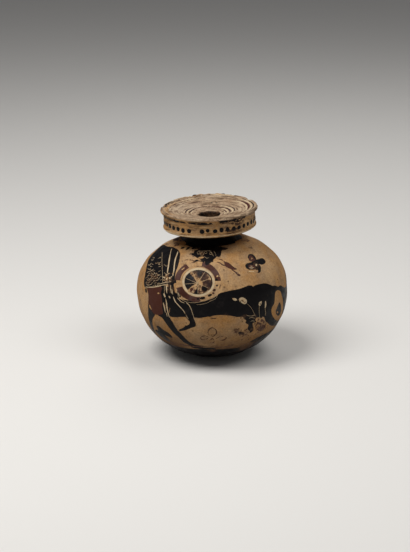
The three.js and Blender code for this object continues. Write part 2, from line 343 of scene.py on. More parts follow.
class Skin:
    """A turned and leaning surface. Its chart is the angle from the front and the climb,
    the length up the meridian over the radius, so that small shapes keep their form."""

    def __init__(self, part, meridian, unevenness):
        self.part = part
        self.radius, self.height = np.asarray(meridian, float).T
        steps = np.hypot(np.diff(self.radius), np.diff(self.height))
        middle = (self.radius[1:] + self.radius[:-1]) / 2
        self.run = np.concatenate([[0], np.cumsum(steps)])
        self.climb = np.concatenate([[0], np.cumsum(steps / middle)])
        dr, dz = np.gradient(self.radius, self.run), np.gradient(self.height, self.run)
        size = np.hypot(dr, dz)
        self.out_r, self.out_z = dz / size, -dr / size
        self.unevenness = unevenness

    def bend(self, height):
        """How far the axis is turned and shifted at a height."""
        span = self.part.lean_end - self.part.lean_start
        share = np.clip((height - self.part.lean_start) / span, 0, 1)
        over = np.maximum(height - self.part.lean_end, 0)
        return self.part.lean * share, math.tan(self.part.lean) * (span * share**2 / 2 + over)

    def lean(self, points):
        """Bends upright points to the pot's lean."""
        x, y, z = points.T
        turn, shift = self.bend(z)
        return np.column_stack([x * np.cos(turn) - shift, y, z + x * np.sin(turn)])

    def upright(self, points):
        """Undoes the lean."""
        x, y, z = points.T
        height = z
        for _ in range(4):
            turn, shift = self.bend(height)
            across = (x + shift) / np.cos(turn)
            height = z - across * np.sin(turn)
        return np.column_stack([across, y, height])

    def stray(self, turn, run):
        """How far the hand-thrown skin stands off its profile, fading at both rims."""
        fade = np.clip(np.minimum(run, self.run[-1] - run) / 3.0, 0, 1)
        slow = 0.9 * np.sin(2 * turn + 0.6 + run * 0.06) + 0.6 * np.sin(3 * turn - run * 0.09)
        ridges = 0.5 * np.sin(run * 0.85 + np.sin(turn) * 0.9)
        small = 0.35 * np.sin(7 * turn + run * 0.31) + 0.3 * np.sin(5 * turn - run * 0.52)
        return self.unevenness * fade * (slow + ridges + small)

    def place(self, chart, sink=0.0):
        """Points in space of chart points, some sunk below the skin."""
        turn, climb = np.asarray(chart, float).T
        run = np.interp(climb, self.climb, self.run)
        off = self.stray(turn, run) - sink
        r = np.interp(run, self.run, self.radius) + off * np.interp(run, self.run, self.out_r)
        z = np.interp(run, self.run, self.height) + off * np.interp(run, self.run, self.out_z)
        return self.lean(around(r, turn, z))

    def rim(self, turn, climb):
        """A ring of points at one climb."""
        return self.place(np.column_stack([turn, np.full(len(turn), climb)]))

    def radius_at(self, climb):
        return np.interp(climb, self.climb, self.radius)

    def climb_at_height(self, height):
        """Only for a skin whose height always rises."""
        return np.interp(height, self.height, self.climb)

    def holds(self, points):
        """Which points lie inside the skin."""
        flat = self.upright(points.reshape(-1, 3))
        r = np.hypot(flat[:, 0], flat[:, 1])
        limit = np.interp(flat[:, 2], self.height, self.radius)
        inside = (r < limit) & (flat[:, 2] > self.height[0]) & (flat[:, 2] < self.height[-1])
        return inside.reshape(points.shape[:-1])

    def chart(self, points):
        """Chart places of points on the skin."""
        flat = self.upright(points)
        turn = np.arctan2(flat[:, 0], -flat[:, 1])
        return np.column_stack([turn, self.climb_at_height(flat[:, 2])])


class Board:
    """A drawing board through the middle of the flask, square to the camera's line of sight.
    Sketches on it are in millimetres, x to the right and y up."""

    def __init__(self, studio):
        tilt = studio.elevation
        self.right = np.array([1.0, 0.0, 0.0])
        self.up = np.array([0.0, math.sin(tilt), math.cos(tilt)])
        self.ahead = np.array([0.0, math.cos(tilt), -math.sin(tilt)])
        self.centre = np.array([0.0, 0.0, studio.centre_height * 1000])
        aim = self.centre + self.right * studio.aim_right * 1000 + self.up * studio.aim_up * 1000
        self.eye = aim - self.ahead * studio.distance * 1000

    def hits(self, skin, sketch):
        """Where the sight lines through sketch points first meet the skin, and which do."""
        target = self.centre + sketch[:, :1] * self.right + sketch[:, 1:] * self.up
        ray = target - self.eye
        reach = np.linalg.norm(ray, axis=1)
        ray /= reach[:, None]
        before, behind = -48, 40
        steps = np.linspace(before, behind, behind - before + 1)
        path = self.eye + ray[:, None, :] * (reach[:, None, None] + steps[None, :, None])
        inside = skin.holds(path)
        met = inside.any(axis=1)
        first = np.maximum(inside.argmax(axis=1), 1)
        low, high = steps[first - 1].copy(), steps[first].copy()
        for _ in range(18):
            middle = (low + high) / 2
            within = skin.holds(self.eye + ray * (reach + middle)[:, None])
            high = np.where(within, middle, high)
            low = np.where(within, low, middle)
        return self.eye + ray * (reach + high)[:, None], met

    def onto(self, skin, sketch):
        """Chart places of sketch points. One past the contour goes on round the far side."""
        sketch = np.asarray(sketch, float)
        points, met = self.hits(skin, sketch)
        found = skin.chart(points)
        lost = np.flatnonzero(~met)
        if len(lost):
            centre = np.array([0.0, -3.0])
            aside = sketch[lost] - centre
            low, high = np.full(len(lost), 0.5), np.ones(len(lost))
            for _ in range(16):
                middle = (low + high) / 2
                _, within = self.hits(skin, centre + aside * middle[:, None])
                low = np.where(within, middle, low)
                high = np.where(within, high, middle)
            points, _ = self.hits(skin, centre + aside * low[:, None])
            rim = skin.chart(points)
            past = np.linalg.norm(aside, axis=1) * (1 - low)
            far_radius = 24
            rim[:, 0] += np.sign(aside[:, 0]) * past / far_radius
            found[lost] = rim
        return found


# Film of slip on a face: 1 is thick, 0 bare clay, and this marks pale bare clay, in incised lines and in
# a painted highlight on the mouth's bead.
PALE_SCRATCH_AND_HIGHLIGHT = -1.0
# Share of its drawn width that a worn incision still shows
INCISED = 0.5


class Brushwork:
    """Slip, red and incision on a skin, with some painted shade and highlight, kept as outlines on its
    chart in painting order.
    """

    def __init__(self, skin):
        self.skin = skin
        self.coats = []
        self.lines = []
        self.grooves = []
        self.rubs = []
        self.to_chart = lambda points: points
        mathutils.noise.seed_set(bpy.context.scene.aryballos_habits.seed)

    def sketch_on(self, board):
        """Draws from now on in the sketch's millimetres."""
        self.to_chart = lambda points: board.onto(self.skin, points)

    def local_at(self, degrees, height, tilt=0.0):
        """Draws from now on in millimetres round a place on the skin."""
        start = self.skin.climb_at_height(height)
        radius = self.skin.radius_at(start)
        c, s = math.cos(math.radians(tilt)), math.sin(math.radians(tilt))

        def chart(points):
            x, y = np.asarray(points, float).T
            across = math.radians(degrees) + (x * c - y * s) / radius
            return np.column_stack([across, start + (x * s + y * c) / radius])

        self.to_chart = chart

    def coat(self, outline, film=1.0, red=0.0):
        """Fills a closed outline."""
        loop = self.to_chart(unsteady(outline))
        self.coats.append((loop, film, red))
        self.lines.append((loop, True))

    def fill(self, points, film=1.0, red=0.0):
        """Fills a smooth closed shape through given points."""
        self.coat(smooth_line(points, closed=True), film, red)

    def brush(self, points, width, film=1.0, red=0.0):
        """A brush stroke through given points."""
        self.coat(stroke(smooth_line(points), width), film, red)

    def incise(self, points, width, depth=0.07):
        """A scratched line that lays pale clay bare, with a sunk middle."""
        middle = unsteady(smooth_line(points, step=0.45), 0.04)
        loop = self.to_chart(stroke(middle, np.multiply(width, INCISED), blunt=0.1))
        self.coats.append((loop, PALE_SCRATCH_AND_HIGHLIGHT, 0.0))
        self.lines.append((loop, True))
        self.grooves.append((self.to_chart(middle[1:-1]), depth))

    def belt(self, low, high, film, red, wave):
        """A painted belt right round, between two climbs, with gently wavy edges."""
        edges = []
        for k, climb in enumerate((low, high)):
            turn = np.linspace(-math.pi, math.pi, 241)
            sway = np.sin(turn * 3 + 1.7 * k) + 0.6 * np.sin(turn * 5 + k)
            line = np.column_stack([turn, climb + wave * sway])
            line[-1, 1] = line[0, 1]
            edges.append(line)
            self.lines.append((line, False))
        self.coats.append((edges, film, red))

    def rub(self, point, radius, strength):
        """A worn place round a drawn point, in millimetres."""
        centre = self.skin.place(self.to_chart(np.array([point], float)))[0]
        self.rubs.append((centre, radius, strength))


def inside_loop(points, loop):
    """Which points lie inside a closed loop."""
    found = np.zeros(len(points), bool)
    low, high = loop.min(axis=0), loop.max(axis=0)
    near = np.flatnonzero(((points >= low) & (points <= high)).all(axis=1))
    if not len(near):
        return found
    x, y = points[near].T
    odd = np.zeros(len(near), bool)
    for (x0, y0), (x1, y1) in zip(loop, np.roll(loop, -1, axis=0)):
        if y0 == y1:
            continue
        crosses = (y0 > y) != (y1 > y)
        odd ^= crosses & (x < (x1 - x0) * (y - y0) / (y1 - y0) + x0)
    found[near] = odd
    return found


def search_tree(places):
    """A tree that finds the nearest of some places."""
    tree = mathutils.kdtree.KDTree(max(len(places), 1))
    for i, place in enumerate(places):
        tree.insert(place, i)
    tree.balance()
    return tree


def lay_net(work, spacing, turns, seed):
    """Triangulates a skin's chart so that every painted edge is an edge of the mesh.
    Returns chart points, triangles, how far each point is sunk and its distance to paint."""
    skin = work.skin
    chance = random.Random(seed)
    top = skin.climb[-1]
    points, edges, sinks = [], [], []
    column = {}

    def add(place, sink=0.0):
        points.append((float(place[0]), float(place[1])))
        sinks.append(sink)
        return len(points) - 1

    def chain(places, closed, sink=0.0):
        first = len(points)
        for place in places:
            add(place, sink)
        last = len(points) - 1
        edges.extend((i, i + 1) for i in range(first, last))
        if closed:
            edges.append((last, first))

    for line, closed in work.lines:
        chain(line, closed)
        if not closed:
            column[round(float(line[0][1]), 9)] = None
    painted = len(points)
    for line, depth in work.grooves:
        chain(line, False, depth)
    drawn = len(points)
    places = skin.place(np.array(points)) if drawn else np.zeros((0, 3))
    tree = search_tree(places)
    climb = 0.0
    odd = False
    rows = []
    while climb < top:
        radius = float(skin.radius_at(climb))
        rows.append(climb)
        climb += spacing * 0.866 / radius
    rows = [row * top / climb for row in rows]
    loose = []
    for row in rows[1:]:
        radius = float(skin.radius_at(row))
        many = max(turns // 2, int(2 * math.pi * radius / spacing))
        for i in range(many):
            share = (i + (0.5 if odd else 0.0) + chance.uniform(-0.12, 0.12)) / many
            turn = -math.pi + 2 * math.pi * share
            if abs(turn) < math.pi - 0.55 * spacing / radius:
                loose.append((turn, row + chance.uniform(-0.1, 0.1) * spacing / radius))
        odd = not odd
        column[round(row, 9)] = None
    rim = [(-math.pi + 2 * math.pi * i / turns) for i in range(turns + 1)]
    spots = skin.place(np.array(loose))
    for place, spot in zip(loose, spots):
        if not drawn or tree.find(spot)[2] > spacing * 0.5:
            add(place)
    for climb in (0.0, top):
        for turn in rim:
            add((turn, climb))
    for climb in column:
        if 0 < climb < top:
            add((-math.pi, climb))
            add((math.pi, climb))
    tops = [(p[0], min(max(p[1], 0.0), top)) for p in points]
    vectors = [mathutils.Vector(p) for p in tops]
    made, _, faces, origins, _, _ = delaunay_2d_cdt(vectors, edges, [], 0, 1e-5, True)
    chart = np.array([tuple(v) for v in made])
    sunk = np.array([max((sinks[i] for i in group), default=0.0) for group in origins])
    triangles = np.array([face for face in faces if len(face) == 3])
    gap = np.full(len(chart), 9.0)
    if painted:
        paint_tree = search_tree(places[:painted])
        for i, spot in enumerate(skin.place(chart)):
            gap[i] = paint_tree.find(spot)[2]
    return chart, triangles, sunk, gap


def coat_faces(work, centres):
    """Film of slip and red of each face, the last coat over it winning."""
    film, red = np.zeros(len(centres)), np.zeros(len(centres))
    for loop, coat_film, coat_red in work.coats:
        if isinstance(loop, list):
            low = np.interp(centres[:, 0], loop[0][:, 0], loop[0][:, 1])
            high = np.interp(centres[:, 0], loop[1][:, 0], loop[1][:, 1])
            held = (centres[:, 1] > low) & (centres[:, 1] < high)
        else:
            held = inside_loop(centres, loop)
        film[held] = coat_film
        red[held] = coat_red
    return film, red


def set_attribute(mesh, name, domain, values):
    """Writes one number for each face or point."""
    old = mesh.attributes.get(name)
    if old:
        mesh.attributes.remove(old)
    layer = mesh.attributes.new(name, "FLOAT", domain)
    layer.data.foreach_set("value", np.asarray(values, np.float32))


class Clay:
    """Faces gathered for one mesh, with their slip, red and wear."""

    def __init__(self):
        self.points, self.faces = [], []
        self.film, self.red, self.rub, self.gap = [], [], [], []

    def add_skin(self, work, spacing, turns, seed, dents=()):
        """The painted net of a skin."""
        chart, triangles, sunk, gap = lay_net(work, spacing, turns, seed)
        places = work.skin.place(chart, sunk)
        for dent in dents:
            places = dent(places)
        film, red = coat_faces(work, chart[triangles].mean(axis=1))
        rub = np.zeros(len(places))
        for centre, radius, strength in work.rubs:
            away = np.linalg.norm(places - centre, axis=1) / radius
            rub = np.maximum(rub, strength * np.clip(1.25 - away, 0, 1))
        start = len(self.points)
        self.points.extend(map(tuple, places))
        self.faces.extend(tuple(int(i) + start for i in face) for face in triangles)
        self.film.extend(film)
        self.red.extend(red)
        self.rub.extend(rub)
        self.gap.extend(gap)

    def add_rings(self, rings, film=0.0, tip=None):
        """A turned strip through rings of points, each ring the same count; a tip closes it."""
        start = len(self.points)
        many = len(rings[0])
        for ring in rings:
            self.points.extend(map(tuple, ring))
        for k in range(len(rings) - 1):
            low, high = start + k * many, start + (k + 1) * many
            for i in range(many - 1):
                self.faces.append((low + i, low + i + 1, high + i + 1, high + i))
        if tip is not None:
            middle = len(self.points)
            self.points.append(tuple(tip[0]))
            first = start if tip[1] else start + (len(rings) - 1) * many
            for i in range(many - 1):
                pair = (first + i + 1, first + i) if tip[1] else (first + i, first + i + 1)
                self.faces.append((*pair, middle))
        added = len(self.points) - start
        self.rub.extend([0.0] * added)
        self.gap.extend([2.0] * added)
        fresh = len(self.faces) - len(self.film)
        self.film.extend([film] * fresh)
        self.red.extend([0.0] * fresh)

    def mesh(self, name, sharp=30.0):
        """One welded mesh with the wear and paint as attributes."""
        mesh = bpy.data.meshes.new(name)
        mesh.from_pydata((np.array(self.points) * 0.001).tolist(), [], self.faces)
        for title, kind, values in (("film", "FACE", self.film), ("red", "FACE", self.red),
                ("rub", "POINT", self.rub), ("gap", "POINT", self.gap)):
            set_attribute(mesh, title, kind, values)
        same_place, no_length = 1e-6, 1e-8
        welded = bmesh.new()
        welded.from_mesh(mesh)
        bmesh.ops.remove_doubles(welded, verts=welded.verts, dist=same_place)
        bmesh.ops.dissolve_degenerate(welded, edges=welded.edges, dist=no_length)
        welded.to_mesh(mesh)
        welded.free()
        mesh.shade_smooth()
        mesh.set_sharp_from_angle(angle=math.radians(sharp))
        return mesh


def put(name, data):
    """An object in the scene."""
    thing = bpy.data.objects.new(name, data)
    bpy.context.collection.objects.link(thing)
    return thing


def finished(mesh, name, material, slot, *nodes):
    """Turns a mesh into a finished piece that stands for frame nodes."""
    piece = put(name, mesh)
    piece.data.materials.clear()
    piece.data.materials.append(material)
    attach(piece, "root")
    if nodes:
        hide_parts(*nodes)
    return piece


# Materials


class Nodes:
    """A node tree, with short ways to add nodes that are linked as they are made."""

    def __init__(self, tree):
        self.tree = tree
        self.coordinates = None

    def add(self, kind, inputs=None, out=0, **settings):
        """An output of a new node, whose inputs are set to values or linked to sockets."""
        node = self.tree.nodes.new(kind)
        for name, value in settings.items():
            setattr(node, name, value)
        for name, value in (inputs or {}).items():
            self.feed(node, name, value)
        return node.outputs[out]

    def feed(self, node, name, value):
        """Sets an input of a node to a value or links it to a socket."""
        if isinstance(value, bpy.types.NodeSocket):
            self.tree.links.new(value, node.inputs[name])
        else:
            node.inputs[name].default_value = value

    def give(self, **values):
        """Links what a group gives back."""
        result = self.tree.nodes.new("NodeGroupOutput")
        for name, value in values.items():
            self.feed(result, name, value)

    def place(self):
        """Object coordinates."""
        if self.coordinates is None:
            self.coordinates = self.add("ShaderNodeTexCoord", out="Object")
        return self.coordinates

    def math(self, operation, *values, clamp=False):
        return self.add("ShaderNodeMath", dict(enumerate(values)), operation=operation, use_clamp=clamp)

    def times(self, a, b):
        return self.math("MULTIPLY", a, b)

    def vector(self, operation, a, b=None, out=0):
        """Vector arithmetic; b is a vector, or the number to scale by."""
        inputs = {0: a}
        if b is not None:
            inputs["Scale" if operation == "SCALE" else 1] = b
        return self.add("ShaderNodeVectorMath", inputs, out, operation=operation)

    def join(self, x=0.0, y=0.0, z=0.0):
        return self.add("ShaderNodeCombineXYZ", {0: x, 1: y, 2: z})

    def split(self, vector):
        return self.add("ShaderNodeSeparateXYZ", {0: vector}).node.outputs

    def ramp(self, value, low, high, to_low=0.0, to_high=1.0):
        """A smooth step of a value from one range to another."""
        return self.add("ShaderNodeMapRange", {"Value": value, 1: low, 2: high, 3: to_low,
            4: to_high}, "Result", interpolation_type="SMOOTHSTEP")

    def tint(self, factor, a, b, kind="MIX"):
        """One colour over another."""
        return self.add("ShaderNodeMix", {0: factor, 6: a, 7: b}, 2, data_type="RGBA", blend_type=kind)

    def noise(self, scale, detail, roughness=0.55, place=None):
        """Cloudy noise, a number from 0 to 1."""
        return self.add("ShaderNodeTexNoise", {"Vector": place or self.place(), "Scale": scale,
            "Detail": detail, "Roughness": roughness})

    def shared(self, build, **inputs):
        """The outputs of a shader group, which is built once and named after its builder."""
        group = bpy.data.node_groups.get(build.__name__) or build()
        node = self.tree.nodes.new("ShaderNodeGroup")
        node.node_tree = group
        for name, value in inputs.items():
            self.feed(node, name, value)
        return node.outputs


def new_group(name, inputs, outputs, kind="ShaderNodeTree"):
    """An empty node group and its inputs, each given by its default number or its kind."""
    tree = bpy.data.node_groups.new(name, kind)
    for way, sockets in (("INPUT", inputs), ("OUTPUT", outputs)):
        for title, value in sockets.items():
            word = value if isinstance(value, str) else type(value).__name__.capitalize()
            made = tree.interface.new_socket(title, in_out=way, socket_type="NodeSocket" + word)
            if word != value:
                made.default_value = value
    return Nodes(tree), tree.nodes.new("NodeGroupInput").outputs


def fired_clay_grain():
    """Colour and height of a hand-smoothed, fired and buried clay, darkened towards the foot partly by a
    stain and partly by painted shade.
    """
    made, given = new_group("fired_clay_grain", {"Clay": "Color", "Ochre": "Color", "Grey": "Color",
        "Dirt": "Color", "Grime": 0.5, "Soil": 0.0}, {"Colour": "Color", "Height": "Float"})
    place = made.place()
    flat = made.add("ShaderNodeMapping", {"Vector": place, "Scale": (1, 1, 16)})
    patches = made.ramp(made.noise(62, 5, 0.6), 0.36, 0.64)
    mottle = made.ramp(made.noise(230, 4, 0.6), 0.4, 0.66)
    blotch = made.ramp(made.noise(520, 4, 0.62), 0.52, 0.72, 0.0, 0.3)
    turned = made.noise(60, 3, place=flat)
    fine = made.noise(1500, 3, 0.65)
    base = made.tint(patches, given["Clay"], given["Ochre"])
    greyed = made.tint(made.times(mottle, 0.5), base, given["Grey"])
    streaks = made.ramp(turned, 0.52, 0.7, 0.0, 0.28)
    streaked = made.tint(streaks, greyed, given["Ochre"])
    pits = made.add("ShaderNodeTexVoronoi", {"Vector": place, "Scale": 420, "Randomness": 1.0})
    few = made.ramp(made.noise(160, 2), 0.5, 0.62)
    pitted = made.times(made.ramp(pits, 0.1, 0.22, 1.0, 0.0), few)
    stains = made.ramp(made.noise(95, 6, 0.68), 0.52, 0.76)
    # Darker towards the foot: partly a stain, partly painted shade of the lower belly.
    darker_below = made.times(made.ramp(made.split(place)[2], 0.0, 0.026, 1.0, 0.0),
        made.ramp(made.noise(75, 5, 0.65), 0.25, 0.6, 0.55, 1.0))
    stain_and_shade_below = made.times(darker_below, given["Soil"])
    # The grime mask holds the random stains and the painted shade towards the foot.
    grime = made.math("MULTIPLY_ADD", stains, given["Grime"], stain_and_shade_below, clamp=True)
    blotched = made.tint(blotch, streaked, given["Dirt"])
    stained = made.tint(grime, blotched, given["Dirt"])
    dotted = made.tint(made.times(pitted, 0.75), stained, given["Dirt"])
    speck = made.ramp(fine, 0.35, 0.65, 0.84, 1.12)
    bright = made.add("ShaderNodeCombineColor", {"Red": speck, "Green": speck, "Blue": speck})
    lines = made.math("MULTIPLY_ADD", turned, 0.5, made.times(fine, 0.3))
    made.give(Colour=made.tint(1.0, dotted, bright, "MULTIPLY"),
        Height=made.math("SUBTRACT", lines, made.times(pitted, 0.8)))
    return made.tree


def slip_wear():
    """Where the slip still covers the clay, and how thickly."""
    made, given = new_group("slip_wear", {"Film": 1.0, "Rub": 0.0, "Gap": 1.0, "Wear": 0.5},
        {"Cover": "Float", "Thickness": "Float"})
    broad = made.noise(190, 5, 0.65)
    fine = made.noise(1250, 4, 0.7)
    mixed = made.add("ShaderNodeMix", {0: 0.38, 2: broad, 3: fine})
    chance = made.times(made.math("SUBTRACT", mixed, 0.5), 2.6)
    film = made.math("MULTIPLY_ADD", given["Film"], 1.55, -0.5)
    thin_edge = made.ramp(given["Gap"], 0.0, 0.35, 0.22, 0.0)
    loss = made.math("ADD", made.times(given["Rub"], 1.25), thin_edge)
    loss = made.math("ADD", loss, made.times(given["Wear"], 0.4))
    stock = made.math("ADD", made.math("SUBTRACT", film, loss), chance)
    painted = made.ramp(given["Film"], 0.02, 0.1)
    made.give(Cover=made.times(made.ramp(stock, 0.0, 0.16), painted),
        Thickness=made.ramp(stock, 0.05, 0.55))
    return made.tree


def turned_streaks():
    """Streaks along the turning, round the neck's axis, and where the plate's top ends."""
    made, given = new_group("turned_streaks", {"Aside": 0.0}, {"Dark": "Float", "Pale": "Float",
        "Side": "Float"})
    x, y, z = made.split(made.place())
    flat = made.join(made.math("SUBTRACT", x, given["Aside"]), y)
    radius = made.vector("LENGTH", flat, out="Value")
    round_about = made.split(made.vector("NORMALIZE", flat))
    along = made.times(round_about[1], 2.4)
    drawn = made.join(made.times(radius, 1000.0), made.times(round_about[0], 2.4),
        made.math("ADD", along, made.times(z, 900.0)))
    chance = made.noise(1.0, 4, 0.6, drawn)
    broken = made.ramp(made.noise(210, 5, 0.65), 0.34, 0.58)
    outside = made.times(made.ramp(radius, 0.0164, 0.0168), made.ramp(z, 0.0613, 0.0607))
    made.give(Dark=made.times(made.ramp(chance, 0.48, 0.62), broken), Pale=made.times(made.ramp(chance,
        0.46, 0.34), broken), Side=made.math("MAXIMUM", outside, made.ramp(z, 0.0585, 0.0575)))
    return made.tree


def painted_finish(name, grime=0.5, wear=0.5, whole_film=None, streaks=0.0):
    """Clay with slip, red and bloom over it, read from the piece's attributes."""
    found = bpy.data.materials.get(name)
    if found:
        return found
    colours = bpy.context.scene.aryballos_colours
    material = bpy.data.materials.new(name)
    material.use_nodes = True
    made = Nodes(material.node_tree)
    shader = made.tree.nodes["Principled BSDF"]

    def solid(title):
        return (*getattr(colours, title), 1.0)

    def attribute(title):
        return made.add("ShaderNodeAttribute", out="Fac", attribute_name=title)

    top, shade = solid("clay"), solid("ochre")
    if streaks:
        turned = made.shared(turned_streaks, Aside=-0.0013)
        top = made.tint(turned["Side"], solid("plate"), top)
        shade = made.tint(turned["Side"], solid("plate_shade"), shade)
    clay = made.shared(fired_clay_grain, Clay=top, Ochre=shade, Grey=solid("grey"),
        Dirt=solid("dirt"), Grime=grime, Soil=1.25)
    bare, relief = clay["Colour"], clay["Height"]
    if whole_film is None:
        slip = made.shared(slip_wear, Wear=wear, Film=attribute("film"), Rub=attribute("rub"),
            Gap=attribute("gap"))
    else:
        slip = made.shared(slip_wear, Wear=wear, Film=whole_film)
    cover = slip["Cover"]
    dark = made.tint(slip["Thickness"], solid("brown"), solid("black"))
    red = attribute("red")
    faded = made.ramp(made.noise(210, 4, 0.6), 0.42, 0.66)
    purple = made.tint(faded, solid("red"), solid("purple"))
    reds = made.tint(made.ramp(red, 0.55, 0.95), purple, solid("red"))
    reddened = made.tint(made.ramp(red, 0.0, 0.6), dark, reds)
    haze = made.ramp(made.noise(280, 5, 0.62), 0.54, 0.84, 0.0, 0.14)
    bloomed = made.tint(haze, reddened, solid("bloom"))
    if streaks:
        bare = made.tint(made.times(turned["Dark"], streaks), bare, solid("dirt"))
        bare = made.tint(made.times(turned["Pale"], 0.5), bare, solid("scratch"))
        relief = made.math("MULTIPLY_ADD", turned["Dark"], -1.4, relief)
    if whole_film is None:
        chalk = made.ramp(made.noise(700, 3), 0.3, 0.6, 0.45, 0.95)
        # Pale clay in incised lines and in the painted highlight on the mouth's bead.
        scratch = made.ramp(attribute("film"), -0.4, -0.1, 1.0, 0.0)
        bare = made.tint(made.times(scratch, chalk), bare, solid("scratch"))
    gloss = made.ramp(made.noise(420, 3), 0.35, 0.65, 0.38, 0.58)
    dull = made.math("MULTIPLY_ADD", red, 0.2, gloss)
    made.feed(shader, "Base Color", made.tint(cover, bare, bloomed))
    made.feed(shader, "Roughness", made.add("ShaderNodeMix", {0: cover, 2: 0.78, 3: dull}))
    raised = made.math("MULTIPLY_ADD", cover, 0.5, relief)
    bump = made.add("ShaderNodeBump", {"Strength": 0.55, "Distance": 0.00028 if streaks else 0.00014,
        "Height": raised})
    made.feed(shader, "Normal", bump)
    made.feed(shader, "Specular IOR Level", 0.08)
    return material


# The frieze, drawn as it lies on the board


def paint_wing(work):
    """The folded wing at the left: scales, then long feathers."""
    wing = [-19.6, 14.6, -18.2, 14.3, -16.9, 14, -15.7, 13.7, -14.1, 12.8, -13.2, 11.4, -13.2, 10.2,
        -13.4, 8.5, -14.1, 6, -14.9, 3.6, -15.3, 1.1, -15.5, -0.1, -17.4, -1.4, -20.2, -2.2, -23.5, -3,
        -27.3, -3, -28, -1, -27.7, 1.9, -27.3, 4.4, -26.4, 7.7, -25.6, 9.3, -24.8, 10.6, -22.7, 12.8,
        -21.1, 14.1]
    work.fill(wing, 0.94)
    work.brush([-16.5, 13.2, -16.9, 12.6, -17.2, 11], 0.2, PALE_SCRATCH_AND_HIGHLIGHT)
    work.brush([-17.2, 11, -17.6, 8.9, -18, 6.5, -18.3, 4.4, -18.4, 3.2], (0.3, 0.5, 0.5, 0.4), PALE_SCRATCH_AND_HIGHLIGHT)
    work.brush([-14.1, 12.1, -14.6, 10.4, -15.1, 8.8, -15.6, 6.5, -15.8, 4, -16.2, 1.9],
        (0.3, 0.5, 0.5, 0.3), PALE_SCRATCH_AND_HIGHLIGHT)
    # A scuffed place on the feathers' lower end
    scuff = random.Random(12)
    for _ in range(26):
        px, py = -18.6 + scuff.gauss(0, 1), 1.2 + scuff.gauss(0, 1.1)
        size = scuff.uniform(0.14, 0.42)
        work.coat(oval(px, py, size, size * 0.7, scuff.uniform(0, 90), 8), scuff.choice((PALE_SCRATCH_AND_HIGHLIGHT, 0.3)))
    work.incise([-20.5, 11.8, -20.7, 7.7, -20.5, 3.6, -20.4, -1], 0.24)
    for down in (0, 4.2, 8):
        y = 6.9 - down * 0.8
        work.incise([(-19.9, y), (-19, y - 0.9), (-18.2, y - 0.4)], 0.24)
    # Scale feathers: rows of small arcs and dashes, cut hastily and denser towards the belt
    outline = smooth_line(wing, closed=True)
    chance = random.Random(41)
    height = 9.6
    row = 0
    while height > -2:
        dense = 1 - max(height, 0) / 12
        x = -27.7 + (0.7 if row % 2 else 0)
        while x < -20.9:
            sway = chance.uniform(-0.25, 0.25)
            lift = chance.uniform(-0.3, 0.3)
            size = 0.52 + chance.uniform(-0.12, 0.18)
            arc = [(x - size, height + lift + sway * 0.6), (x + sway, height + lift - size),
                (x + size, height + lift - sway * 0.6)]
            if chance.random() < 0.5:
                arc = [(x - size, height + lift - size * 0.8), (x + size, height + lift)]
            if chance.random() < 0.5 + 0.6 * dense and inside_loop(np.array(arc), outline).all():
                work.incise(arc, chance.uniform(0.16, 0.32), 0.05)
            x += chance.uniform(1.05, 1.4)
        height -= 0.92
        row += 1
    work.rub((-18.4, 1.2), 2.2, 0.4)
    work.rub((-24.8, 1), 3, 0.25)


